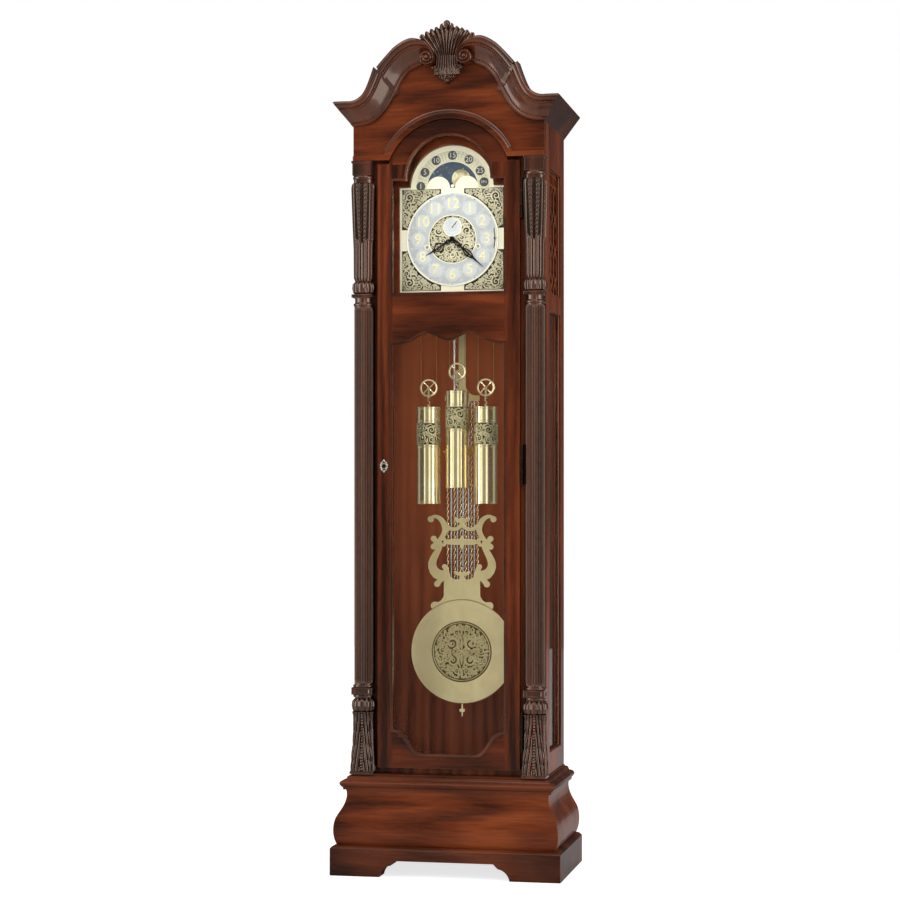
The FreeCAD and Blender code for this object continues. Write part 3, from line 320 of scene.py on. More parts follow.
def objectVector(tree, stretch):
    return addNode(tree, "Mapping", {"Vector": objectPlace(tree), "Scale": stretch}).outputs["Vector"]


# wood finishes

woodTones = {"dark": (44, 15, 6), "mid": (92, 38, 15), "light": (130, 61, 27),
             "worn": (140, 76, 44), "hollow": (18, 6, 3)}
upright = (1.0, 1.0, 0.09)
level = (0.09, 1.0, 1.0)


def cherryMaterial(name, stretch=upright, railHalf=None, railSpans=(), tones=woodTones, glazeAndShade=False,
                   roughness=0.3, coat=0.22, wear=0.5, figure=7.0, shine=0.16, paintedLightTone=None):
    made, tree, surface = newMaterial(name, {"Coat Weight": coat, "Coat Roughness": 0.07, "IOR": 1.5,
                                             "Specular IOR Level": shine, "Specular Tint": (1, 0.7, 0.5, 1)})
    tones = {part: display(*tone) for part, tone in tones.items()}
    vector = objectVector(tree, stretch)
    if railSpans:
        # boards that lie across, between the uprights, have their grain level
        parts = addNode(tree, "SeparateXYZ", {0: objectPlace(tree)}).outputs
        inside = arithmetic(tree, "LESS_THAN", arithmetic(tree, "ABSOLUTE", parts["X"]), railHalf)
        across = 0.0
        for low, high in railSpans:
            above = arithmetic(tree, "GREATER_THAN", parts["Z"], low)
            below = arithmetic(tree, "LESS_THAN", parts["Z"], high)
            across = arithmetic(tree, "ADD", arithmetic(tree, "MULTIPLY", above, below), across, True)
        mask = arithmetic(tree, "MULTIPLY", inside, across)
        vector = addNode(tree, "Mix", {0: mask, 4: vector, 5: objectVector(tree, level)},
                         data_type="VECTOR").outputs[1]
    grain = useGroup(tree, cherryFigure, {"Vector": vector, "Dark Tone": tones["dark"],
                                          "Mid Tone": tones["mid"], "Light Tone": tones["light"],
                                          "Figure Size": figure})
    worn = useGroup(tree, edgeWear, {"Color": grain["Color"], "Worn Tone": tones["worn"],
                                     "Hollow Tone": tones["hollow"], "Amount": wear, "Hollows": float(glazeAndShade)})
    colour = worn["Color"]
    if paintedLightTone:
        # painted light: paler towards the top, where the back boards are more lit, darker low down in the shade
        # of the base
        height = addNode(tree, "SeparateXYZ", {0: objectPlace(tree)}).outputs["Z"]
        colour = blendColours(tree, spread(tree, height, 0.45, 1.45, 0.0, 0.5), colour, display(*paintedLightTone))
    # deep parts of the carving darker: dark polish, and painted shade in the recesses
    if glazeAndShade:
        colour = useGroup(tree, reliefGlazeAndShade, {"Color": colour, "Deep Tone": tones["hollow"]})["Color"]
    rough = spread(tree, grain["Mottle"], 0.3, 0.7, roughness, roughness + 0.12)
    return finishMaterial(made, surface, colour, rough, grain["Pores"], 0.12, 0.0006)


uprightCherry = cherryMaterial("uprightCherry")
levelCherry = cherryMaterial("levelCherry", level)
figuredCherry = cherryMaterial("figuredCherry", level, figure=5.0)
plinthTones = dict(woodTones, dark=(30, 11, 6), mid=(68, 30, 16), light=(98, 47, 27))
plinthCherry = cherryMaterial("plinthCherry", level, tones=plinthTones, shine=0.12)
doorTones = dict(woodTones, dark=(34, 11, 5), mid=(76, 30, 12), light=(112, 50, 23))
doorCherry = cherryMaterial("doorCherry", upright, 0.149, ((0.27, 0.36), (1.33, 1.53), (1.86, 1.98)),
                            tones=doorTones)
sideCherry = cherryMaterial("sideCherry")
backTones = dict(woodTones, dark=(62, 28, 18), mid=(96, 47, 29), light=(118, 61, 38))
# the back boards carry painted light: a paler tone blended in towards the top
backCherry = cherryMaterial("backCherry", upright, tones=backTones, roughness=0.42, coat=0.1, wear=0.2,
                            paintedLightTone=(176, 92, 54))
# carvings and reeds: dark polish in their hollows, deepened with painted shade
carvedTones = dict(woodTones, dark=(22, 8, 5), mid=(44, 17, 10), light=(78, 37, 23),
                   worn=(112, 60, 38), hollow=(5, 2, 1))
carvedCherry = cherryMaterial("carvedCherry", upright, tones=carvedTones, glazeAndShade=True, roughness=0.12, coat=0.4,
                              shine=0.85)
columnTones = dict(woodTones, dark=(22, 8, 4), mid=(45, 17, 9), light=(76, 33, 18),
                   worn=(108, 56, 34))
columnCherry = cherryMaterial("columnCherry", upright, tones=columnTones, glazeAndShade=True, roughness=0.12, coat=0.3,
                              shine=0.6)
fretTones = dict(woodTones, dark=(88, 36, 16), mid=(142, 66, 30), light=(176, 96, 50))
fretCherry = cherryMaterial("fretCherry", upright, tones=fretTones)
mouldedTones = dict(woodTones, dark=(26, 9, 5), mid=(64, 26, 13), light=(94, 43, 22),
                    worn=(118, 60, 34))
mouldedCherry = cherryMaterial("mouldedCherry", (0.25, 0.25, 0.25), tones=mouldedTones, roughness=0.12,
                               coat=0.45,
                               shine=0.6)
maskCherry = cherryMaterial("maskCherry", (0.3, 0.3, 0.3))


# metal, glass and painted finishes

def metalMaterial(name, tone, dull, roughness, stretch=(1.0, 1.0, 0.02), metallic=1.0, bump=0.05,
                  fineness=900.0, glazeAndShade=None, spreadRough=0.08, worn=None):
    made, tree, surface = newMaterial(name, {"Metallic": metallic})
    marks = useGroup(tree, brushing, {"Vector": objectVector(tree, stretch), "Fineness": fineness})
    colour = blendColours(tree, spread(tree, marks["Smudge"], 0.35, 0.7), display(*tone), display(*dull))
    if worn:
        colour = useGroup(tree, edgeWear, {"Color": colour, "Worn Tone": display(*worn[0]),
                                           "Hollow Tone": display(*worn[1]), "Amount": 0.8,
                                           "Hollows": 0.8})["Color"]
    if glazeAndShade:
        colour = useGroup(tree, reliefGlazeAndShade, {"Color": colour, "Deep Tone": display(*glazeAndShade[0]),
                                            "Low": glazeAndShade[1], "High": glazeAndShade[2]})["Color"]
    uneven = arithmetic(tree, "ADD", marks["Smudge"], arithmetic(tree, "MULTIPLY", marks["Lines"], 0.5))
    rough = spread(tree, uneven, 0.4, 1.1, roughness, roughness + spreadRough)
    return finishMaterial(made, surface, colour, rough, marks["Lines"], bump, 0.0003)


polishedBrass = metalMaterial("polishedBrass", (252, 238, 194), (246, 226, 172), 0.13, bump=0.002,
                              metallic=0.82, spreadRough=0.02)
satinBrass = metalMaterial("satinBrass", (222, 202, 146), (204, 182, 124), 0.32,
                           (0.02, 1.0, 1.0), bump=0.08, metallic=0.8)
lyreBrass = metalMaterial("lyreBrass", (236, 218, 166), (220, 200, 146), 0.36,
                          (1.0, 1.0, 0.03), bump=0.06, metallic=0.7)
bobBrass = metalMaterial("bobBrass", (240, 222, 172), (224, 204, 152), 0.36, (0.02, 0.6, 1.0),
                         bump=0.08, metallic=0.7)
medalBrass = metalMaterial("medalBrass", (206, 190, 144), (184, 166, 120), 0.34, bump=0.06,
                           metallic=0.7, glazeAndShade=((96, 82, 52), 0.05, 0.6))
twistBrass = metalMaterial("twistBrass", (252, 236, 190), (240, 216, 160), 0.16, bump=0.004,
                           glazeAndShade=((120, 46, 22), 0.3, 0.62))
antiqueBrass = metalMaterial("antiqueBrass", (214, 202, 160), (186, 172, 128), 0.3, bump=0.08,
                             metallic=0.8, worn=((244, 236, 206), (58, 48, 32)),
                             glazeAndShade=((48, 40, 26), 0.05, 0.5))
dialFiligreeBrass = metalMaterial("dialFiligreeBrass", (232, 222, 188), (204, 192, 154), 0.3,
                                  bump=0.08, metallic=0.45, worn=((252, 246, 224), (50, 44, 30)),
                                  glazeAndShade=((46, 40, 28), 0.3, 0.88))
dialBrass = metalMaterial("dialBrass", (255, 250, 226), (250, 242, 210), 0.3,
                          (0.03, 1.0, 1.0), bump=0.05, metallic=0.2)
dialSilver = metalMaterial("dialSilver", (222, 224, 223), (206, 208, 207), 0.34,
                           (1.0, 1.0, 1.0), bump=0.2, fineness=500.0, metallic=0.25,
                           glazeAndShade=((186, 189, 190), 0.1, 0.9))
cartoucheSilver = metalMaterial("cartoucheSilver", (212, 213, 211), (203, 204, 201), 0.36,
                                (1.0, 1.0, 1.0), bump=0.1, metallic=0.2)
archSilver = metalMaterial("archSilver", (244, 240, 214), (234, 228, 198), 0.36,
                           (1.0, 1.0, 1.0), bump=0.15, metallic=0.2, glazeAndShade=((206, 200, 168), 0.2, 0.8))
numeralGold = metalMaterial("numeralGold", (255, 246, 196), (244, 228, 164), 0.28, bump=0.04,
                            metallic=0.25)
steelMetal = metalMaterial("steelMetal", (222, 222, 220), (190, 192, 194), 0.16, bump=0.02)
darkMetal = metalMaterial("darkMetal", (34, 30, 28), (22, 20, 20), 0.3, metallic=0.6)
lockSilver = metalMaterial("lockSilver", (206, 200, 188), (166, 160, 148), 0.24,
                           worn=((240, 238, 230), (50, 46, 40)), glazeAndShade=((60, 52, 44), 0.1, 0.8))
hingeBronze = metalMaterial("hingeBronze", (40, 30, 24), (24, 18, 15), 0.36,
                            worn=((88, 68, 50), (12, 9, 7)))
copperCable = metalMaterial("copperCable", (236, 150, 80), (206, 116, 56), 0.34, metallic=0.5,
                            glazeAndShade=((60, 28, 14), 0.05, 0.6))
oliveCable = metalMaterial("oliveCable", (206, 178, 110), (166, 138, 78), 0.36, metallic=0.5,
                           glazeAndShade=((48, 38, 18), 0.05, 0.6))


def glassMaterial():
    made, tree, surface = newMaterial("windowGlass", {"Transmission Weight": 1.0, "IOR": 1.12,
                                                      "Metallic": 0.0, "Base Color": display(250, 252, 250)})
    smear = noise(tree, objectPlace(tree), 9.0, 3.0)
    setInputs(tree, surface, {"Roughness": spread(tree, smear, 0.3, 0.7, 0.0, 0.015)})
    rays = addNode(tree, "LightPath").outputs
    # light and shade pass straight through
    passing = arithmetic(tree, "MAXIMUM", rays["Is Shadow Ray"], rays["Is Diffuse Ray"])
    through = addNode(tree, "BsdfTransparent").outputs[0]
    mixed = addNode(tree, "MixShader", {0: passing, 1: surface.outputs[0], 2: through})
    setInputs(tree, tree.nodes["Material Output"], {0: mixed.outputs[0]})
    return made


windowGlass = glassMaterial()


def clothMaterial():
    made, tree, surface = newMaterial("grilleCloth", {"Sheen Weight": 0.04, "Specular IOR Level": 0.06})
    place = objectVector(tree, (1.0, 1.0, 1.0))
    warp = addNode(tree, "TexWave", {"Vector": place, "Scale": 420.0}, bands_direction="Y").outputs["Fac"]
    weft = addNode(tree, "TexWave", {"Vector": place, "Scale": 420.0}, bands_direction="Z").outputs["Fac"]
    weave = arithmetic(tree, "MULTIPLY", warp, weft)
    colour = blendColours(tree, weave, display(6, 5, 5), display(26, 20, 17))
    return finishMaterial(made, surface, colour, spread(tree, weave, 0.0, 1.0, 0.75, 0.95), weave, 0.5, 0.0004)


grilleCloth = clothMaterial()


def paintMaterial(name, tone, second, roughness=0.5, scale=60.0, glow=0.0):
    made, tree, surface = newMaterial(name, {"Emission Color": (1, 1, 1, 1)})
    if glow:
        # only the eye sees the glow, so it doesn't light the case from below
        seen = addNode(tree, "LightPath").outputs["Is Camera Ray"]
        tree.links.new(arithmetic(tree, "MULTIPLY", seen, glow), surface.inputs["Emission Strength"])
    tint = noise(tree, objectPlace(tree), scale, 5.0)
    colour = blendColours(tree, spread(tree, tint, 0.3, 0.7), display(*tone), display(*second))
    rough = spread(tree, tint, 0.3, 0.7, roughness, roughness + 0.1)
    return finishMaterial(made, surface, colour, rough, tint, 0.1, 0.0002)


nightBlue = paintMaterial("nightBlue", (44, 58, 76), (68, 82, 98))
discGrey = paintMaterial("discGrey", (66, 65, 58), (84, 82, 72))
starGold = paintMaterial("starGold", (244, 240, 222), (222, 214, 184))
inkDark = paintMaterial("inkDark", (30, 26, 26), (48, 42, 40))
floorPaint = paintMaterial("floorPaint", (196, 196, 196), (190, 190, 190), 0.8, 3.0, 0.75)
print("finishes are ready")

floorHalf = 9.0
floorMesh = bpy.data.meshes.new("floor")
floorCorners = [(floorHalf * x, floorHalf * y, 0) for x, y in ((-1, -1), (1, -1), (1, 1), (-1, 1))]
floorMesh.from_pydata(floorCorners, [], [(0, 1, 2, 3)])
floor = bpy.data.objects.new("floor", floorMesh)
floorMesh.materials.append(floorPaint)
scene.collection.objects.link(floor)


# mesh helpers: shapes are gathered in millimetres, then made into one piece

def newShape():
    return {"points": [], "faces": [], "relief": [], "count": 0}


def addPoints(shape, points, relief):
    start = shape["count"]
    flat = np.asarray(points, float).reshape(-1, 3)
    shape["points"].append(flat)
    shape["relief"].append(np.broadcast_to(relief, np.asarray(points).shape[:-1]).reshape(-1))
    shape["count"] += len(flat)
    return start


def addGrid(shape, grid, relief=0.8, wrapAcross=False, wrapAlong=False, caps=False):
    # quads over rows and columns of points; caps close a tube's two ends
    rows, columns = grid.shape[:2]
    start = addPoints(shape, grid, relief)
    r = np.arange(rows if wrapAlong else rows - 1)[:, None]
    c = np.arange(columns if wrapAcross else columns - 1)[None, :]
    nextRow, nextColumn = (r + 1) % rows, (c + 1) % columns
    quads = np.stack([r * columns + c, r * columns + nextColumn, nextRow * columns + nextColumn,
                      nextRow * columns + c], -1).reshape(-1, 4) + start
    shape["faces"].extend(quads.tolist())
    if caps:
        shape["faces"].append(list(range(start + columns - 1, start - 1, -1)))
        last = start + (rows - 1) * columns
        shape["faces"].append(list(range(last, last + columns)))


def addPlate(shape, front, back, relief=0.8, backRelief=0.6):
    # a closed plate between two grids of the same size
    columns = front.shape[1]
    ring = np.concatenate([front, back[:, ::-1]], axis=1)
    reliefs = np.concatenate([np.broadcast_to(relief, front.shape[:2]),
                              np.full(back.shape[:2], backRelief)], axis=1)
    start = shape["count"]
    addGrid(shape, ring, reliefs, wrapAcross=True)
    last = start + (front.shape[0] - 1) * columns * 2
    for k in range(columns - 1):
        far = columns * 2 - 1 - k
        shape["faces"].append([start + k + 1, start + k, start + far, start + far - 1])
        shape["faces"].append([last + k, last + k + 1, last + far - 1, last + far])


def addTurned(shape, profile, centre, axis="Z", steps=48, relief=0.8):
    # a turned solid: the profile is (radius, distance along the axis), from the axis to the axis
    angles = np.linspace(0, 2 * np.pi, steps, endpoint=False)
    profile = np.asarray(profile, float)
    radii, along = profile[:, 0:1], np.repeat(profile[:, 1:2], steps, 1)
    a, b = radii * np.cos(angles), radii * np.sin(angles)
    order = {"Z": (a, b, along), "Y": (a, along, b), "X": (along, a, b)}[axis]
    addGrid(shape, np.stack(order, -1) + np.asarray(centre, float), relief, wrapAcross=True, caps=True)


def addBall(shape, centre, radius, squashY=1.0, relief=1.0, rings=6, steps=10):
    polar = np.linspace(0.02, np.pi - 0.02, rings)[:, None]
    around = np.linspace(0, 2 * np.pi, steps, endpoint=False)[None, :]
    grid = np.stack([radius * np.sin(polar) * np.cos(around), radius * squashY * np.sin(polar) * np.sin(around),
                     radius * np.cos(polar) * np.ones_like(around)], -1) + np.asarray(centre, float)
    addGrid(shape, grid, relief, wrapAcross=True, caps=True)


def addTube(shape, path, radius, sides=8, relief=0.9):
    # a round tube along a path of points; radius may be one number or one for each point
    path = np.asarray(path, float)
    tangent = np.gradient(path, axis=0)
    tangent /= np.linalg.norm(tangent, axis=1, keepdims=True) + 1e-12
    guide = np.array([0.0, 1.0, 0.0]) if abs(tangent[:, 1]).max() < 0.9 else np.array([1.0, 0.0, 0.0])
    side = np.cross(tangent, guide)
    side /= np.linalg.norm(side, axis=1, keepdims=True) + 1e-12
    other = np.cross(tangent, side)
    angles = np.linspace(0, 2 * np.pi, sides, endpoint=False)
    reach = np.broadcast_to(np.asarray(radius, float), len(path))[:, None, None]
    grid = path[:, None] + reach * (np.cos(angles)[None, :, None] * side[:, None]
                                    + np.sin(angles)[None, :, None] * other[:, None])
    addGrid(shape, grid, relief, wrapAcross=True, caps=True)


def addSheet(shape, outline, near, far):
    # a flat sheet of any outline between two depths
    grid = np.array([[(x, y, z) for x, z in outline] for y in (near, far)])
    addGrid(shape, grid, 0.9, wrapAcross=True, caps=True)


def mirrorShape(shape):
    # a mirror copy, left for right, of everything so far
    points = np.concatenate(shape["points"]) * np.array([-1.0, 1.0, 1.0])
    base = addPoints(shape, points, np.concatenate(shape["relief"]))
    shape["faces"].extend([[v + base for v in reversed(face)] for face in shape["faces"]])


def placePiece(name, mesh, body, material, replaced=()):
    mesh.materials.append(material)
    piece = bpy.data.objects.new(name, mesh)
    scene.collection.objects.link(piece)
    if body:
        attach(piece, body)
    if replaced:
        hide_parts(*replaced)
    return piece


def makePiece(shape, name, body, material, replaced=(), crease=38):
    mesh = bpy.data.meshes.new(name)
    points = np.concatenate(shape["points"]) * mm
    mesh.from_pydata(points.tolist(), [], shape["faces"])
    mesh.attributes.new("relief", "FLOAT", "POINT").data.foreach_set(
        "value", np.concatenate(shape["relief"]).astype(np.float32))
    work = bmesh.new()
    work.from_mesh(mesh)
    bmesh.ops.remove_doubles(work, verts=work.verts, dist=2e-6)
    bmesh.ops.recalc_face_normals(work, faces=work.faces)
    work.to_mesh(mesh)
    work.free()
    mesh.shade_smooth()
    mesh.set_sharp_from_angle(angle=math.radians(crease))
    return placePiece(name, mesh, body, material, replaced)


def splineThrough(points, perSpan=8):
    # a smooth curve through the points, as a plain array
    points = np.asarray(points, float)
    padded = np.vstack([2 * points[0] - points[1], points, 2 * points[-1] - points[-2]])
    share = np.linspace(0, 1, perSpan, endpoint=False)[:, None]
    runs = []
    for a, b, c, d in zip(padded, padded[1:], padded[2:], padded[3:]):
        runs.append(0.5 * (2 * b + (c - a) * share + (2 * a - 5 * b + 4 * c - d) * share ** 2
                           + (3 * b - a - 3 * c + d) * share ** 3))
    return np.vstack(runs + [points[-1:]])


def softenedCopy(nodeName, material, slotName, width=1.2, segments=2):
    # the board as it is in the frame, with its corners eased as sanding leaves them
    name = nodeName + "Eased"
    mesh = bpy.data.meshes.new(name)
    work = bmesh.new()
    work.from_mesh(nodes[nodeName].data)
    bmesh.ops.remove_doubles(work, verts=work.verts, dist=2e-5)
    bmesh.ops.dissolve_limit(work, angle_limit=math.radians(0.6), verts=work.verts, edges=work.edges)
    sharp = [e for e in work.edges if len(e.link_faces) == 2 and e.calc_face_angle() > math.radians(32)]
    bmesh.ops.bevel(work, geom=sharp, offset=width * mm, segments=segments, profile=0.5, affect="EDGES",
                    clamp_overlap=True)
    bmesh.ops.recalc_face_normals(work, faces=work.faces)
    work.to_mesh(mesh)
    work.free()
    mesh.shade_smooth()
    mesh.set_sharp_from_angle(angle=math.radians(40))
    mesh.materials.append(material)
    piece = bpy.data.objects.new(name, mesh)
    scene.collection.objects.link(piece)
    weigh = piece.modifiers.new("weigh", "WEIGHTED_NORMAL")
    weigh.keep_sharp = True
    bpy.context.view_layer.update()
    flatter = bpy.data.meshes.new_from_object(piece.evaluated_get(bpy.context.evaluated_depsgraph_get()))
    piece.modifiers.clear()
    piece.data = flatter
    bpy.data.meshes.remove(mesh)
    flatter.name = name
    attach(piece, nodes[nodeName]["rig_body"])
    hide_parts(nodeName)
    return piece


# boards of the case

boardFinishes = {"plinth": plinthCherry, "bombe_base": levelCherry, "base_moulding": plinthCherry,
                 "back_boards": backCherry, "trunk_floor": levelCherry, "left_side_frame": sideCherry,
                 "right_side_frame": sideCherry, "face_frame": uprightCherry, "hood_roof": levelCherry,
                 "pediment_board": figuredCherry, "hood_moulding": levelCherry, "dial_mask": maskCherry,
                 "seatboard": levelCherry, "door_frame": doorCherry, "door_beads": mouldedCherry}
boardEasing = {"door_frame": (2.4, 3), "door_beads": (1.3, 3), "base_moulding": (0.8, 2)}
for nodeName, finish in boardFinishes.items():
    softenedCopy(nodeName, finish, "cherry", *boardEasing.get(nodeName, (1.2, 2)))
print("case boards are eased")

plainFinishes = ((windowGlass, "side_glass door_glass"), (grilleCloth, "grille_cloth"),
                 (hingeBronze, "hinge_case_leaves hinge_door_leaves"), (dialBrass, "dial_plate"),
                 (dialSilver, "dial_rings"), (antiqueBrass, "spandrels"),
                 (steelMetal, "chime_rods anchor chime_hammers"), (lockSilver, "lock_escutcheon lock_plug"),
                 (nightBlue, "moon_disc"), (darkMetal, "chime_selector minute_hand hour_hand second_hand"),
                 (polishedBrass, "movement_plates centre_wheel escape_wheel third_wheel drum_left drum_centre "
                                 "drum_right weight_left weight_centre weight_right pulley_left pulley_centre "
                                 "pulley_right pendulum_rods rating_nut"),
                 (copperCable, "cable_left"), (oliveCable, "cable_centre cable_right"),
                 (satinBrass, "pendulum_leader pendulum_bob"), (lyreBrass, "pendulum_lyre"),
                 (fretCherry, "fret_panels"), (columnCherry, "columns"), (levelCherry, "crown_moulding"),
                 (carvedCherry, "lower_capitals upper_capitals shell_carving"))
for finish, names in plainFinishes:
    for nodeName in names.split():
        materials = nodes[nodeName].data.materials
        materials.clear()
        materials.append(finish)


# crown moulding: two paired edges with a run of profile between them

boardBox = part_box("pediment_board")
boardFace = boardBox[0].y / mm
trunkHalf = boardBox[1].x / mm
crown = {"outerLower": [(255, 1962), (240, 1963), (228, 1964), (206, 1970), (188, 1980), (170, 1997),
                        (154, 2019), (138, 2047)],
         "outerUpper": [(302, 2024), (270, 2024), (252, 2024), (236, 2029), (222, 2040), (212, 2056),
                        (202, 2080), (191, 2111)],
         "innerLower": [(138, 2047), (124, 2077), (104, 2100), (82, 2112), (68, 2120), (63.5, 2134),
                        (52, 2143), (40, 2138), (37, 2128), (43, 2119), (52, 2118), (57, 2124)],
         "innerUpper": [(183, 2110), (158, 2138), (132, 2163), (100, 2180), (76, 2180), (53, 2171),
                        (37, 2154), (29.5, 2131), (34, 2117), (49, 2111.5), (63, 2117), (66, 2126)],
         # share of the way from the lower edge to the upper one, and how far the profile stands out
         "profile": [(0.0, 0), (0.0, 6), (0.03, 9), (0.08, 10), (0.12, 9), (0.135, 6.5), (0.15, 7.5), (0.2, 10),
                     (0.28, 14), (0.36, 19), (0.46, 26), (0.55, 33), (0.6, 36), (0.605, 38.5), (0.66, 38.5),
                     (0.67, 36.5), (0.7, 37), (0.71, 40), (0.76, 44), (0.83, 46.6), (0.9, 46.8), (0.96, 45),
                     (1.0, 41), (1.0, 0)],
         "breakLow": (134.0, 2044.5), "breakHigh": (188.0, 2113.0), "mitreStep": 0.4,
         "eyeX": 49.5,
         "eyeZ": 2131.0, "rope": 3.0, "ropeStep": 6.2}


def crownRun(shape, lower, upper, perSpan=7, mitre=False, taper=None):
    low, high = splineThrough(lower, perSpan), splineThrough(upper, perSpan)
    share = np.array([p[0] for p in crown["profile"]])
    reach = np.array([p[1] for p in crown["profile"]], float)
    x = low[:, 0:1] + (high[:, 0:1] - low[:, 0:1]) * share
    z = low[:, 1:2] + (high[:, 1:2] - low[:, 1:2]) * share
    out = np.ones(len(low)) if taper is None else taper(np.linspace(0, 1, len(low)))
    y = boardFace - reach * out[:, None]
    if mitre:
        # no row passes the diagonal, so the run doesn't fold over its own corner
        x = np.minimum(x, trunkHalf + reach - crown["mitreStep"] * np.arange(len(x))[:, None])
        z[0] = low[0, 1] + (high[0, 1] - low[0, 1]) * share
    grid = np.stack([x, y, z], -1)
    addGrid(shape, grid, 0.8, wrapAcross=True, caps=True)
    return grid


def buildCrown():
    shape = newShape()
    outer = crownRun(shape, crown["outerLower"], crown["outerUpper"], mitre=True)
    inner = crownRun(shape, crown["innerLower"], crown["innerUpper"],
                     taper=lambda s: 1.02 - 0.15 * np.clip(s - 0.55, 0, 1))
    # the return runs back along the side from the mitre
    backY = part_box("crown_moulding")[1].y / mm
    corner = outer[0]
    returned = corner.copy()
    returned[:, 1] = backY
    addGrid(shape, np.stack([corner, (corner + returned) / 2, returned]), 0.8, wrapAcross=True, caps=True)
    # a raised strip covers the break between the two curved runs
    widths = np.array([(-6.0, 0), (-6.0, 1), (-5.0, 1), (5.0, 1), (6.0, 1), (6.0, 0)])
    rows = []
    low, high = (np.array(crown[end]) for end in ("breakLow", "breakHigh"))
    along = (high - low) / np.linalg.norm(high - low)
    across = np.array([along[1], -along[0]])
    for share in np.linspace(0, 1, 7):
        middle = low + (high - low) * share
        stand = np.interp(share, [p[0] for p in crown["profile"]], [p[1] for p in crown["profile"]])
        rows.append([(middle[0] + across[0] * w, boardFace - (stand + 1.5 if d else 0),
                      middle[1] + across[1] * w)
                     for w, d in widths])
    addGrid(shape, np.array(rows), 0.9, wrapAcross=True, caps=True)
    # small twisted rope beads lie beside the lower fillet and under the top bead
    for run in (outer[6:-1], inner[1:52]):
        for column, lift in ((5, 1.6), (15, 1.0)):
            line = run[:, column].copy()
            step = np.linalg.norm(np.diff(line, axis=0), axis=1)
            length = np.concatenate([[0], np.cumsum(step)])
            for place in np.arange(1.0, length[-1], crown["ropeStep"]):
                spot = [np.interp(place, length, line[:, k]) for k in range(3)]
                spot[1] -= lift
                addBall(shape, spot, crown["rope"], rings=5, steps=6, relief=0.9)
    # a filled volute: a disc, the last turn of the spiral and its eye
    addTurned(shape, [(0, -38), (16.5, -38), (18.6, -36), (19.2, -32), (19.2, -4), (0, -4)],
              (crown["eyeX"], boardFace, crown["eyeZ"]), "Y", 48)
    steps = np.linspace(0, 1, 60)
    swing = np.radians(262 + 400 * steps)
    reach = 15.6 - 8.8 * steps ** 0.9
    addTube(shape, np.stack([crown["eyeX"] - reach * np.sin(swing), boardFace - 40.5 - 3.5 * steps,
                             crown["eyeZ"] + reach * np.cos(swing)], -1), 3.4 - 1.2 * steps, 10)
    addBall(shape, (crown["eyeX"], boardFace - 42, crown["eyeZ"]), 5.6, 1.2, rings=12, steps=20)
    mirrorShape(shape)
    makePiece(shape, "crownScrolls", "case", mouldedCherry, ["crown_moulding"], 30)


buildCrown()
print("crown is built")


# carved shell

shell = {"ribs": 11, "waist": 27.0, "waistZ": 2126.0, "wide": 75.0, "wideZ": 2191.0, "top": 2217.0}


def addScroll(shape, place, stand, reach, turn, thick, count, relief=0.95):
    # a tube that winds inward about a place; each pair is a start and how much it changes along the tube
    share = np.linspace(0, 1, count)
    a = turn[0] + turn[1] * share
    radius = reach[0] * (1 - reach[1] * share)
    line = np.stack([place[0] + radius * np.sin(a), boardFace - stand[0] - stand[1] * share,
                     place[1] + radius * np.cos(a)], -1)
    addTube(shape, line, thick[0] - thick[1] * share, 7, relief)


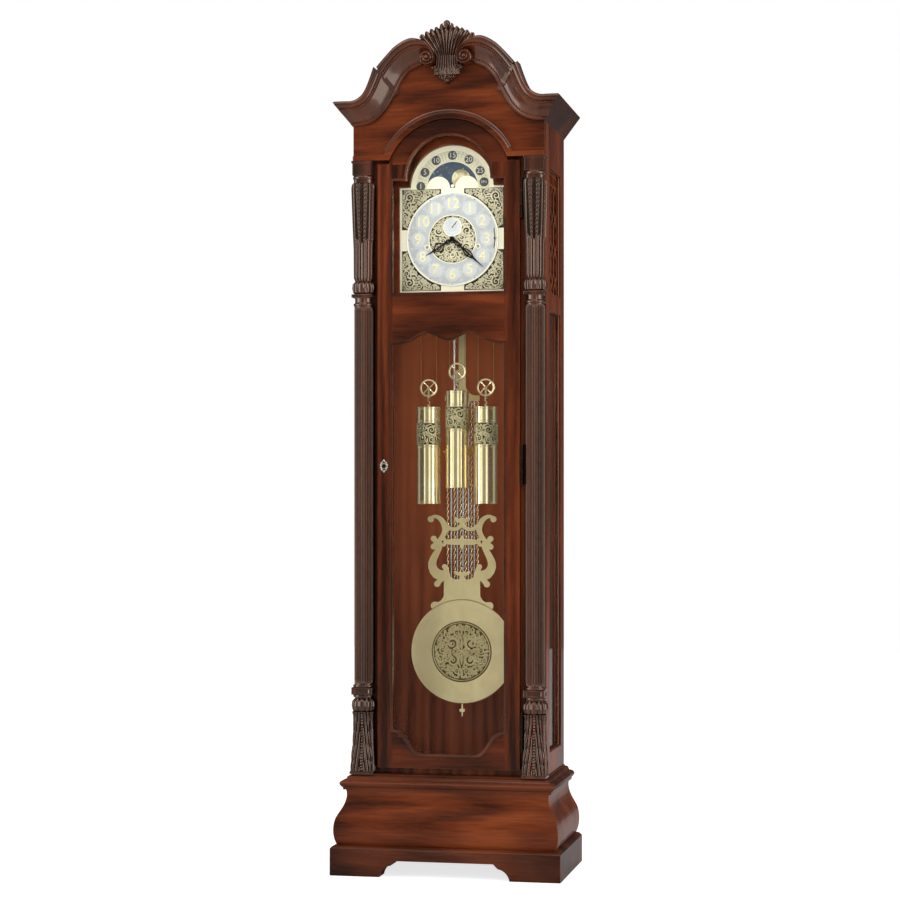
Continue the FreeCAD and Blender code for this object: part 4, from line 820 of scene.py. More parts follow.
def buildShell():
    shape = newShape()
    ribs = shell["ribs"]
    across = np.linspace(-1, 1, ribs * 12 + 1)[None, :]
    along = np.linspace(0, 1, 52)[:, None]
    s = np.abs(across)
    lobe = np.abs(np.sin(np.pi * (across + 1) / 2 * ribs))
    # each rib leaves the waist upright, then bends outward to its tip
    endX = shell["wide"] * across * (1 + 0.06 * (1 - s))
    endZ = shell["top"] - (shell["top"] - shell["wideZ"]) * s ** 1.7 - 8 * (1 - lobe ** 0.7)
    endX = endX * (1 - 0.05 * (1 - lobe ** 0.7))
    startX, startZ = shell["waist"] * across, shell["waistZ"] - 3 * s
    bendX, bendZ = startX * (0.86 + 0.2 * s), startZ + 26 + 26 * (1 - s)
    x = (1 - along) ** 2 * startX + 2 * along * (1 - along) * bendX + along ** 2 * endX
    z = (1 - along) ** 2 * startZ + 2 * along * (1 - along) * bendZ + along ** 2 * endZ
    roll = np.clip((along - 0.8) / 0.2, 0, 1)
    height = 15 + 6.5 * np.sin(np.pi * along * 0.62) - 5 * s ** 2 - 5 * roll ** 2
    ripple = np.cos(3 * np.pi * (across + 1) / 2 * ribs * 2)
    height = height + lobe ** 0.5 * (1.8 + 3.8 * along) + 0.9 * ripple * along
    front = np.stack([x, boardFace - np.clip(height, 3, 26.5), z], -1)
    backing = np.stack([x * 0.99, np.full_like(x, boardFace), z - 0.5], -1)
    addPlate(shape, front, backing, np.clip(lobe ** 0.8 * (0.4 + 0.6 * along) + 0.08, 0, 1))
    # waist: close upright ribs that narrow to the leaf below
    across = np.linspace(-1, 1, 81)[None, :]
    z = np.linspace(2137, 2088, 26)[:, None]
    width = np.interp(z, [2088, 2104, 2114, 2126, 2137], [34, 33, 29, 28, 27])
    groove = np.abs(np.sin(np.pi * across * 4.5))
    height = 17 + 4.5 * np.sqrt(np.clip(1 - across ** 2, 0, 1)) + 2.6 * groove ** 0.6 - 3
    front = np.stack([across * width, boardFace - np.clip(height + z * 0, 3, 26), z + across * 0], -1)
    backing = np.stack([across * width, np.full_like(front[..., 0], boardFace), z + across * 0], -1)
    addPlate(shape, front, backing, np.clip(groove ** 0.7 + across * 0, 0, 1))
    # lower leaf with cut edges that ends in a point
    t = np.linspace(0, 1, 60)[:, None]
    z = 2106 - 40 * t
    notch = np.abs(np.sin(np.pi * t * 3.5)) ** 0.6
    width = np.interp(t, [0, 0.12, 0.35, 0.65, 0.9, 1], [37, 43, 35, 22, 9, 2]) * (0.86 + 0.14 * notch)
    fold = np.abs(np.sin(np.pi * (across * 3 + t * 2.2)))
    height = 7 + 8 * np.sqrt(np.clip(1 - across ** 2, 0, 1)) * (1 - 0.5 * t) + 3.4 * fold ** 0.7
    front = np.stack([across * width, boardFace - np.clip(height, 2, 26), z + across ** 2 * 7 * (1 - t)], -1)
    backing = np.stack([across * width, np.full_like(front[..., 0], boardFace),
                        z + across ** 2 * 7 * (1 - t)], -1)
    addPlate(shape, front, backing, np.clip(fold ** 0.8, 0, 1))
    # flower of curls on the leaf
    for x, z, size, way in ((0, 2083, 7, 1), (-12, 2092, 6.4, 1), (12, 2092, 6.4, -1), (-25, 2101, 6, 1),
                            (25, 2101, 6, -1), (0, 2100, 5.6, 1), (-36, 2107, 4.6, 1), (36, 2107, 4.6, -1),
                            (0, 2072, 3.6, 1)):
        addScroll(shape, (x, z), (18, 3), (size, 0.75), (0.8, way * 2.2 * np.pi), (2.3, 1.1), 26)
    for side in (-1, 1):
        # leaf curls along the fan's outer edge, then the rolled end of the knob
        for x, z, size in ((69, 2187, 6.5), (56, 2171, 6.5), (43, 2155, 5.5)):
            addScroll(shape, (side * x * 0.96, z), (16, 3.5), (size, 0.7), (0.4, side * 1.35 * np.pi),
                      (2.8, 1.3),
                      24, 0.9)
        addScroll(shape, (side * 11.0, 2213), (17, 2), (6.5, 0.75), (0, side * 2.2 * np.pi), (2.4, 1.2), 30)
    addBall(shape, (0, boardFace - 16, 2220.5), 9.0, 0.95, rings=14, steps=20)
    makePiece(shape, "carvedShell", "case", carvedCherry, ["shell_carving"], 50)


buildShell()
print("shell is carved")


# columns and their carved capitals

columnBox, lowerBox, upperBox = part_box("columns"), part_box("lower_capitals"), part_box("upper_capitals")
frameFace = columnBox[1].y / mm
columnSizes = {"x": trunkHalf - 26.0, "y": frameFace - 11.0, "radius": 25.8, "reeds": 22, "depth": 2.6,
               "low": columnBox[0].z / mm, "high": columnBox[1].z / mm, "block": 28.7}


def buildColumns():
    shape = newShape()
    angles = np.linspace(-0.42, np.pi + 0.42, columnSizes["reeds"] * 10 + 1)[None, :]
    z = np.array([columnSizes["low"], columnSizes["low"] + 3, columnSizes["low"] + 3.2, columnSizes["low"] + 9,
                  columnSizes["low"] + 13] + list(np.linspace(columnSizes["low"] + 16,
                                                              columnSizes["high"] - 16, 12))
                 + [columnSizes["high"] - 13, columnSizes["high"] - 9, columnSizes["high"] - 3.2,
                    columnSizes["high"] - 3,
                    columnSizes["high"]])[:, None]
    fromEnd = np.minimum(z - columnSizes["low"], columnSizes["high"] - z)
    cut = np.clip((fromEnd - 3.2) / 9, 0, 1) ** 0.5
    wave = np.abs(np.sin(angles * columnSizes["reeds"] * 0.79))
    radius = columnSizes["radius"] - cut * columnSizes["depth"] * (1 - wave ** 0.75) - (1 - cut) * 0.4
    x = columnSizes["x"] + radius * np.cos(angles)
    y = np.minimum(columnSizes["y"] - radius * np.sin(angles), frameFace)
    front = np.stack([x, y + 0 * z, z + 0 * angles], -1)
    backing = front.copy()
    backing[..., 1] = frameFace
    addPlate(shape, front, backing, np.clip(wave ** 0.8 * cut + (1 - cut), 0, 1))
    mirrorShape(shape)
    makePiece(shape, "reededColumns", "case", columnCherry, ["columns"], 50)


def carvedBlock(shape, levels, carve, count=121, rise=1.2):
    # a square body with rounded corners, standing on the frame, whose half width follows the height.
    # carve(side, height) gives how far its face stands out and its relief; side runs -1 to 1 on each face
    low, high = levels[0][0], levels[-1][0]
    z = np.arange(low, high + rise / 2, rise)
    z[-1] = high
    half = np.interp(z, [p[0] for p in levels], [p[1] for p in levels])[:, None]
    rounding = np.interp(z, [p[0] for p in levels], [p[2] for p in levels])[:, None]
    lap = np.linspace(0, 3, count)[None, :]
    face = np.clip(lap.astype(int), 0, 2)
    side = (lap - face) * 2 - 1
    side = np.broadcast_to(side, (len(z), count))
    stand, relief = carve(side, z[:, None])
    depth = 11.0
    # walk: left face from the frame forward, the front face, then the right face back to the frame
    flat = half
    px = np.where(face == 0, -flat, np.where(face == 2, flat, side * flat))
    forward = columnSizes["block"] * 0 + half
    py = np.where(face == 0, (side + 1) / 2 * (forward + depth) - depth,
                  np.where(face == 2, (1 - side) / 2 * (forward + depth) - depth, forward))
    length = np.sqrt(px ** 2 + np.maximum(py, 0) ** 2) + 1e-9
    limit = flat * (1 + (math.sqrt(2) - 1) * (1 - rounding))
    shrink = np.minimum(1, limit / length)
    nx = np.where(face == 0, -1.0, np.where(face == 2, 1.0, side * 0.35))
    ny = np.where(face == 1, 1.0, 0.0)
    corner = np.clip(py / (forward + 1e-9), 0, 1) ** 3
    ny = np.where(face == 1, ny, corner * 0.6)
    px = px * shrink + nx * stand
    py = np.where(py > 0, py * shrink, py) + ny * stand
    front = np.stack([columnSizes["x"] + px, columnSizes["y"] - py, np.broadcast_to(z[:, None], px.shape)], -1)
    front[..., 1] = np.minimum(front[..., 1], frameFace)
    backing = front.copy()
    backing[..., 1] = frameFace
    addPlate(shape, front, backing, relief)


def plainFace(side, z):
    return np.zeros_like(side + z), np.full_like(side + z, 0.9)


def gadroonFace(side, z):
    lobe = np.abs(np.cos(side * np.pi * 1.5))
    return lobe ** 0.7 * 3.4 - 1.5, np.clip(lobe ** 0.8, 0, 1) + 0 * z


def upperLeafFace(side, z):
    # smooth rails at the sides, two columns of small scales that draw together, and long ribs below
    share = (z - 1556) / (1813 - 1556)
    s = np.abs(side)
    leafy = np.clip((share - 0.37 - 0.05 * s) / 0.03, 0, 1)
    rise = np.clip((share - 0.38) / 0.62, 0, 1)
    middle = 0.20 + 0.2 * rise ** 0.6
    half = 0.15 + 0.07 * rise
    near = np.clip(1 - np.abs(s - middle) / half, 0, 1)
    rows = np.abs(np.sin(np.pi * (z / 11.0 + 0.55 * np.abs(s - middle) / half)))
    scales = near ** 0.45 * (0.25 + 0.75 * rows ** 0.8)
    rail = np.clip(1 - np.abs(s - 0.86) / 0.13, 0, 1) ** 0.5
    spine = np.clip(1 - s / 0.06, 0, 1) ** 0.6
    ribs = np.abs(np.cos(side * np.pi * 2.5)) ** 0.8
    raised = np.maximum(np.maximum(rail, spine * 0.9), leafy * scales)
    raised = np.maximum(raised, (1 - leafy) * ribs * 0.85)
    return 4.2 * raised - 2.6, np.clip(raised, 0, 1)


def lowerLeafFace(side, z):
    share = (z - 273) / (424 - 273)
    s = np.abs(side)
    slant = s + 0.30 * (share - 0.5)
    veins = np.abs(np.cos(slant * np.pi * 3.0 + share * 2.2))
    cut = np.abs(np.sin(share * np.pi * 4.0 + s * 1.4))
    edgeLeaf = np.clip((s - 0.45) * 2, 0, 1)
    dots = np.abs(np.sin(z * np.pi / 7.5)) ** 0.6 * np.clip(1 - s / 0.16, 0, 1) ** 0.5
    body = veins ** 0.8 * (1 - 0.55 * edgeLeaf * (1 - cut))
    stand = -2.4 + 3.9 * np.maximum(body * np.where(s < 0.16, 0.2, 1), dots)
    stand = stand - edgeLeaf * (1 - cut ** 0.5) * 2.4
    return stand, np.clip(np.maximum(body * (0.45 + 0.55 * cut), dots), 0, 1)


def panelFace(side, z):
    edge = np.maximum(np.abs(side) / 0.72, np.abs(z - 479.5) / 5.6)
    inside = np.clip((1 - edge) / 0.12, 0, 1)
    return -2.0 * inside, 1 - 0.6 * inside


def ringBlock(shape, low, high, half, bulge=1.6, rounding=0.9):
    steps = np.linspace(0, 1, 7)
    levels = [(low + (high - low) * t, half - bulge + bulge * math.sqrt(max(0, 1 - (2 * t - 1) ** 2)), rounding)
              for t in steps]
    carvedBlock(shape, levels, plainFace, 61, (high - low) / 8)


def buildCapitals():
    block = columnSizes["block"]
    shape = newShape()
    carvedBlock(shape, [(262, block + 3.6, 0.05), (268, block + 3.6, 0.05), (270, block + 2.4, 0.05)],
                plainFace, 61)
    carvedBlock(shape, [(270, block + 1.2, 0.25), (300, block + 0.6, 0.3), (340, block - 2.6, 0.35),
                        (400, block - 4.6, 0.4), (418, block - 3.2, 0.4), (425, block - 1.6, 0.5)],
                lowerLeafFace, 241, 1.0)
    carvedBlock(shape, [(425, block - 6, 0.6), (429, block - 1.5, 0.7), (440, block + 1.0, 0.8),
                        (452, block - 0.5, 0.8), (460, block - 7, 0.7), (462, block - 7.5, 0.7)], gadroonFace,
                        181, 1.0)
    ringBlock(shape, 462, 470, block - 1.0)
    carvedBlock(shape, [(470, block - 0.6, 0.05), (488.8, block - 0.6, 0.05)], panelFace, 121, 0.8)
    ringBlock(shape, 488.8, lowerBox[1].z / mm + 4e-3, block - 0.5)
    mirrorShape(shape)
    makePiece(shape, "carvedFeet", "case", carvedCherry, ["lower_capitals"], 50)
    shape = newShape()
    ringBlock(shape, upperBox[0].z / mm, 1498, block - 1.0, rounding=1.0)
    carvedBlock(shape, [(1498, block - 3.6, 1.0), (1500, block - 5.0, 1.0), (1510, block - 5.0, 1.0),
                        (1513, block - 3.8, 1.0)], plainFace, 61)
    carvedBlock(shape, [(1513, block - 0.8, 0.05), (1520, block - 0.8, 0.05), (1521.5, block - 2, 0.05)],
                plainFace, 61)
    carvedBlock(shape, [(1521.5, block - 8, 0.6), (1526, block - 3.0, 0.7), (1538, block - 0.6, 0.8),
                        (1549, block - 2.0, 0.8), (1556, block - 8.5, 0.7)], gadroonFace, 181, 1.0)
    carvedBlock(shape, [(1556, block - 9, 0.35), (1564, block - 5.8, 0.4), (1640, block - 5.2, 0.4),
                        (1700, block - 3.2, 0.35), (1760, block - 1.8, 0.3), (1800, block - 0.6, 0.3),
                        (1810, block - 1.4, 0.4), (1814, block - 4.5, 0.5)], upperLeafFace, 301, 1.0)
    carvedBlock(shape, [(1814, block - 4.6, 0.5), (1823, block - 4.6, 0.5)], plainFace, 61)
    ringBlock(shape, 1823, 1833, block - 0.6, 2.4)
    carvedBlock(shape, [(1833, block - 3.5, 0.05), (1836, block - 2.6, 0.05), (1864.5, block - 2.6, 0.05)],
                plainFace, 61)
    carvedBlock(shape, [(1864.5, block - 2.4, 0.05), (1866, block - 0.4, 0.05),
                        (upperBox[1].z / mm, block - 0.2, 0.05)],
                plainFace, 61)
    mirrorShape(shape)
    makePiece(shape, "carvedCapitals", "case", carvedCherry, ["upper_capitals"], 50)


buildColumns()
buildCapitals()
print("columns and capitals are carved")


# relief drawing: strokes are rows of (x, z, half width)

def curl(x, z, start, end, angle, turn, wide, narrow, count=22):
    steps = np.linspace(0, 1, count)
    reach = start + (end - start) * steps
    a = math.radians(angle) + math.radians(turn) * steps
    return np.stack([x + reach * np.sin(a), z + reach * np.cos(a), wide + (narrow - wide) * steps], -1)


def blade(points, width, count=7):
    # a leaf or stem through a few points, widest a third of the way along
    line = splineThrough(points, count)
    steps = np.linspace(0, 1, len(line))
    swell = np.sin(np.pi * np.clip(steps * 0.86 + 0.1, 0, 1)) ** 0.7
    return np.column_stack([line, width * (0.25 + 0.75 * swell)])


def flipped(strokes):
    return [stroke * np.array([-1.0, 1.0, 1.0]) for stroke in strokes]


def turned(strokes, angle):
    c, s = math.cos(math.radians(angle)), math.sin(math.radians(angle))
    return [np.column_stack([t[:, 0] * c + t[:, 1] * s, t[:, 1] * c - t[:, 0] * s, t[:, 2]]) for t in strokes]


def reliefField(x, z, strokes):
    # how high rounded strokes stand, from 0 to 1
    best = np.zeros(np.broadcast(x, z).shape)
    for px, pz, width in np.concatenate(strokes):
        far = ((x - px) ** 2 + (z - pz) ** 2) / (width * width)
        best = np.maximum(best, np.clip(1 - far, 0, 1))
    return np.sqrt(best)


def fillGaps(strokes, low, high, step, size, inside, wide=1.5, period=None):
    # small curls in the places that the main strokes leave empty
    known = np.concatenate(strokes)
    added = []
    for row, z in enumerate(np.arange(low[1] + step / 2, high[1], step)):
        for x in np.arange(low[0] + step / 2 * (1 + row % 2), high[0], step):
            if not inside(x, z):
                continue
            away = known[:, 0] - x
            if period:
                away = (away + period / 2) % period - period / 2
            if (np.hypot(away, known[:, 1] - z) - known[:, 2]).min() < size * 0.5:
                continue
            swing = 1 if (len(added) % 2) else -1
            added.append(curl(x, z, size, size * 0.2, (x * 37 + z * 53) % 360, swing * 420, wide, wide * 0.5,
                              14))
            known = np.concatenate([known, added[-1]])
    return added


def discField(x, z, strokes):
    # distance inside the edge of the strokes' outline, negative outside
    best = np.full(np.broadcast(x, z).shape, -1e3)
    for px, pz, width in np.concatenate(strokes):
        best = np.maximum(best, width - np.sqrt((x - px) ** 2 + (z - pz) ** 2))
    return best


def addCutPlate(shape, field, low, high, step, front, back, height=None):
    # a flat plate of any outline, holes included; its edge points slide onto the outline
    xs = np.arange(low[0], high[0] + step, step)
    zs = np.arange(low[1], high[1] + step, step)
    gx, gz = np.meshgrid(xs, zs)
    middle = field(gx[:-1, :-1] + step / 2, gz[:-1, :-1] + step / 2) > 0
    columns = len(xs)
    r, c = np.nonzero(middle)
    quads = np.stack([r * columns + c, r * columns + c + 1, (r + 1) * columns + c + 1, (r + 1) * columns + c],
                     -1)
    sides = np.concatenate([quads[:, [0, 1]], quads[:, [1, 2]], quads[:, [2, 3]], quads[:, [3, 0]]])
    keys = np.sort(sides, axis=1)
    order = keys[:, 0] * (columns * len(zs)) + keys[:, 1]
    single = np.isin(order, np.unique(order)[np.unique(order, return_counts=True)[1] == 1])
    border = sides[single]
    px, pz = gx.reshape(-1).copy(), gz.reshape(-1).copy()
    rim = np.unique(border)
    for _ in range(3):
        value = field(px[rim], pz[rim])
        dx = (field(px[rim] + 0.05, pz[rim]) - value) / 0.05
        dz = (field(px[rim], pz[rim] + 0.05) - value) / 0.05
        size = np.maximum(dx ** 2 + dz ** 2, 0.3)
        move = np.clip(value / size, -step * 0.6, step * 0.6)
        px[rim] -= move * dx
        pz[rim] -= move * dz
    used = np.unique(quads)
    slot = np.full(columns * len(zs), -1)
    slot[used] = np.arange(len(used))
    x, z = px[used], pz[used]
    rise, relief = (np.zeros(len(x)), np.full(len(x), 0.9)) if height is None else height(x, z)
    start = addPoints(shape, np.stack([x, front - rise, z], -1), relief)
    far = addPoints(shape, np.stack([x, np.full_like(x, back), z], -1), 0.6)
    shape["faces"].extend((slot[quads] + start).tolist())
    shape["faces"].extend((slot[quads[:, ::-1]] + far).tolist())
    edges = np.stack([slot[border[:, 1]] + start, slot[border[:, 0]] + start,
                      slot[border[:, 0]] + far, slot[border[:, 1]] + far], -1)
    shape["faces"].extend(edges.tolist())


def addRing(shape, x, z, inner, outer, front, back, rise=None, rings=8, steps=180, start=0.0, turn=360.0):
    # a flat ring or part of one; rise(x, z) gives its height and relief
    radii = np.linspace(inner, outer, rings)[:, None]
    whole = turn >= 360
    angles = np.radians(start + np.linspace(0, turn, steps, endpoint=not whole))[None, :]
    gx, gz = x + radii * np.sin(angles), z + radii * np.cos(angles)
    lift, relief = (np.zeros_like(gx), 0.85) if rise is None else rise(gx, gz)
    top = np.stack([gx, front - lift, gz], -1)
    low = np.stack([gx, np.full_like(gx, back), gz], -1)
    if whole:
        grid = np.concatenate([top, low[::-1]])
        reliefs = np.concatenate([np.broadcast_to(relief, gx.shape), np.full(gx.shape, 0.6)])
        addGrid(shape, grid, reliefs, wrapAcross=True, wrapAlong=True)
    else:
        addPlate(shape, top, low, relief)


# dial

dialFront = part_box("dial_rings")[1].y / mm
dial = {"z": 1668.0, "archZ": 1803.0, "outer": 121.5, "inner": 64.0,
        "seconds": (0.0, 1700.0), "winding": ((-68.4, 1648.0), (68.4, 1648.0), (0.0, 1626.6)),
        "days": (("1", -86), ("5", -60), ("10", -31), ("15", 0), ("20", 31), ("25", 60), ("29½", 81)),
        "hours": [str(h) for h in range(1, 13)]}

fineEngraving = []
for k in range(24):
    a = k * 15
    motif = [curl(0, 92, 7, 1, 30, 400, 1.5, 0.7, 18), curl(5.4, 101, 5, 1, 190, -380, 1.3, 0.6, 16),
             curl(4.2, 79, 4.5, 1, 0, 380, 1.2, 0.6, 16), curl(3.5, 112, 4.4, 1, 60, 360, 1.2, 0.6, 16)]
    fineEngraving += turned(motif, a)


def chapterRise(x, z):
    h = reliefField(x, z - dial["z"], fineEngraving)
    return 0.12 * h, np.clip(0.25 + 0.75 * h, 0, 1)


def collectText(words, material, name, body, depth, replaced=()):
    # flat raised figures facing the front; words is a list of (text, x, y, z, size)
    work = bmesh.new()
    for text, x, y, z, size in words:
        data = bpy.data.curves.new("figure", "FONT")
        data.body = text
        data.size = size * mm
        data.extrude = depth * mm / 2
        data.bevel_depth = depth * mm * 0.18
        data.align_x = "CENTER"
        data.align_y = "CENTER"
        data.resolution_u = 5
        figure = bpy.data.objects.new("figure", data)
        scene.collection.objects.link(figure)
        bpy.context.view_layer.update()
        flat = bpy.data.meshes.new_from_object(figure.evaluated_get(bpy.context.evaluated_depsgraph_get()))
        for v in flat.vertices:
            v.co = Vector((v.co.x + x * mm, y * mm - v.co.z, v.co.y + z * mm))
        work.from_mesh(flat)
        bpy.data.objects.remove(figure)
        bpy.data.curves.remove(data)
        bpy.data.meshes.remove(flat)
    mesh = bpy.data.meshes.new(name)
    bmesh.ops.remove_doubles(work, verts=work.verts, dist=1e-6)
    bmesh.ops.recalc_face_normals(work, faces=work.faces)
    work.to_mesh(mesh)
    work.free()
    mesh.materials.append(material)
    piece = bpy.data.objects.new(name, mesh)
    scene.collection.objects.link(piece)
    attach(piece, body)
    return piece


def buildChapter():
    shape = newShape()
    z, front = dial["z"], dialFront - 1.3
    addRing(shape, 0, z, dial["inner"], 112.4, front, dialFront, chapterRise, 60, 540)
    addRing(shape, 0, z, 112.4, 117.6, front, dialFront, chapterRise, 8, 500, 103, 334)
    addRing(shape, 0, z, 117.6, dial["outer"], front, dialFront, None, 5, 360)
    addRing(shape, *dial["seconds"], 12.5, 23.5, front - 0.25, dialFront, None, 6, 90)
    makePiece(shape, "chapterRing", "case", dialSilver, ["dial_rings"], 40)
    shape = newShape()
    for k in range(12):
        a = math.radians(k * 30)
        addTurned(shape, [(0, -0.36), (17.2, -0.36), (18.2, -0.28), (18.9, -0.05), (18.9, 0.4), (0, 0.4)],
                  (93 * math.sin(a), front, z + 93 * math.cos(a)), "Y", 40, 0.9)
    addTurned(shape, [(0, -0.3), (11.6, -0.3), (12.2, 0), (12.2, 1.2), (0, 1.2)],
              (dial["seconds"][0], front, dial["seconds"][1]), "Y", 40, 0.9)
    makePiece(shape, "chapterDiscs", "case", cartoucheSilver)
    words = []
    for k, text in enumerate(dial["hours"]):
        a = math.radians((k + 1) * 30)
        words.append((text, 93 * math.sin(a), front - 0.55, z + 93 * math.cos(a), 38))
    collectText(words, numeralGold, "hourFigures", "case", 0.35)
    shape = newShape()
    for k in range(60):
        a = math.radians(k * 6)
        large = k % 5 == 0
        if 90 < k * 6 < 104:
            continue
        size = 1.3 if large else 0.55
        addTurned(shape, [(0, -0.25), (size * 0.7, -0.22), (size, 0), (size, 0.3), (0, 0.3)],
                  (118.9 * math.sin(a), front, z + 118.9 * math.cos(a)), "Y", 8)
    for k in range(12):
        a = math.radians(k * 30)
        cx, cz = dial["seconds"]
        addTurned(shape, [(0, -0.3), (0.6, -0.3), (0.6, 0.3), (0, 0.3)],
                  (cx + 18 * math.sin(a), front - 0.25, cz + 18 * math.cos(a)), "Y", 8)
    makePiece(shape, "minuteDots", "case", inkDark)
    shape = newShape()
    # gold beads round the chapter ring, its inside edge and the seconds ring
    for cx, cz, radius, wide, steps in ((0, z, dial["outer"] + 0.9, 1.5, 220),
                                        (0, z, dial["inner"] - 0.8, 1.2, 160),
                                        (*dial["seconds"], 24.2, 0.9, 80)):
        a = np.linspace(0, 2 * np.pi, steps, endpoint=False)
        b = np.linspace(0, 2 * np.pi, 9, endpoint=False)[:, None]
        r = radius + wide * np.cos(b)
        grid = np.stack([cx + r * np.sin(a), front - 0.2 - 0.9 * np.sin(b) + 0 * a, cz + r * np.cos(a)], -1)
        addGrid(shape, grid, 0.9, wrapAcross=True, wrapAlong=True)
    for cx, cz in dial["winding"]:
        addRing(shape, cx, cz, 4.6, 6.6, front - 0.5, dialFront, None, 4, 32)
    makePiece(shape, "dialBeads", "case", dialBrass)


centreStrokes = []
for k in range(6):
    motif = [curl(0, 44, 12, 1.5, 180, 520, 3.1, 1.3, 34), curl(9, 25, 8, 1.2, 200, -480, 2.5, 1.1, 28),
             curl(-10, 56, 5, 1, 90, 420, 1.9, 0.9), curl(10, 56, 5, 1, -90, -420, 1.9, 0.9),
             blade([(-6, 14), (-2, 24), (-9, 34)], 2.2), blade([(14, 38), (18, 48), (12, 58)], 2.3),
             blade([(-15, 36), (-19, 46), (-14, 59)], 2.2), blade([(4, 50), (9, 47), (13, 41)], 2.0),
             blade([(0, 60), (5, 61), (9, 60)], 1.8), blade([(-3, 30), (2, 33), (6, 31)], 1.7)]
    centreStrokes += turned(motif, k * 60)
centreStrokes.append(np.array([[0, 0, 9.0]]))
centreStrokes += fillGaps(centreStrokes, (-62, -62), (62, 62), 2.0, 3.0, lambda x,
                          z: 10 < math.hypot(x, z) < 59)


def buildDialCentre():
    shape = newShape()

    def rise(x, z):
        h = reliefField(x, z - dial["z"], centreStrokes)
        edge = np.clip((62.5 - np.hypot(x, z - dial["z"])) / 2, 0, 1)
        return 0.15 + 1.25 * h * edge, h * edge

    addRing(shape, 0, dial["z"], 7.0, 62.8, dialFront, dialFront + 0.4, rise, 110, 420)
    makePiece(shape, "dialFiligree", "case", dialFiligreeBrass)


cornerStrokes = [curl(21, 21, 12.5, 1.5, 45, 540, 3.2, 1.4, 36),
                 curl(46, 13.5, 8.6, 1.2, 200, -480, 2.4, 1.1, 28),
                 curl(13.5, 46, 8.6, 1.2, -110, 480, 2.4, 1.1, 28), curl(69, 9, 5.6, 1, 100, 420, 1.9, 0.9),
                 curl(9, 69, 5.6, 1, -10, -420, 1.9, 0.9), curl(38, 33, 6.5, 1, 0, 420, 2, 1),
                 curl(8, 8, 5, 1, 0, 400, 1.9, 0.9), curl(86, 6, 3.6, 0.8, 0, 400, 1.5, 0.8),
                 curl(6, 86, 3.6, 0.8, 0, -400, 1.5, 0.8), curl(30, 8, 4.4, 1, 60, 400, 1.7, 0.8),
                 curl(8, 30, 4.4, 1, 60, -400, 1.7, 0.8), blade([(2.5, 2.5), (50, 2.2), (102, 2.6)], 1.5, 30),
                 blade([(2.5, 2.5), (2.2, 50), (2.6, 102)], 1.5, 30), blade([(30, 22), (40, 24), (52, 21)],
                                                                            2.3),
                 blade([(22, 30), (24, 40), (21, 52)], 2.3), blade([(56, 16), (62, 20), (70, 17)], 2.0),
                 blade([(16, 56), (20, 62), (17, 70)], 2.0), blade([(76, 10), (84, 13), (94, 9)], 1.8),
                 blade([(10, 76), (13, 84), (9, 94)], 1.8), blade([(28, 42), (33, 44), (40, 41)], 1.9),
                 blade([(56, 6), (62, 4.6), (64, 8)], 1.5), blade([(6, 56), (4.6, 62), (8, 64)], 1.5),
                 blade([(36, 14), (34, 20), (38, 26)], 1.7), blade([(14, 36), (20, 34), (26, 38)], 1.7)]


cornerStrokes += fillGaps(cornerStrokes, (3, 3), (102, 102), 2.0, 3.0,
                          lambda u, v: math.hypot(137 - u, 133 - v) > 127 or min(u, v) < 6)


def buildSpandrels():
    shape = newShape()
    low, high = 1533.0, 1801.0
    for up in (-1, 1):
        for side in (-1, 1):
            def local(x, z):
                return 137 - side * x, (high - z) if up > 0 else (z - low)

            def field(x, z):
                u, v = local(x, z)
                ring = np.hypot(x, z - dial["z"]) - 124.2
                reach = 106 - np.maximum(u, v)
                return np.minimum(np.minimum(np.minimum(u, v), ring), reach)

            def height(x, z):
                u, v = local(x, z)
                h = reliefField(u, v, cornerStrokes)
                return 0.1 + 1.3 * h, h

            x0, x1 = (30, 137.5) if side > 0 else (-137.5, -30)
            z0, z1 = (1694, high + 0.5) if up > 0 else (low - 0.5, 1642)
            addCutPlate(shape, field, (x0, z0), (x1, z1), 0.75, dialFront, dialFront + 0.3, height)
    makePiece(shape, "cornerFiligree", "case", dialFiligreeBrass, ["spandrels"], 60)


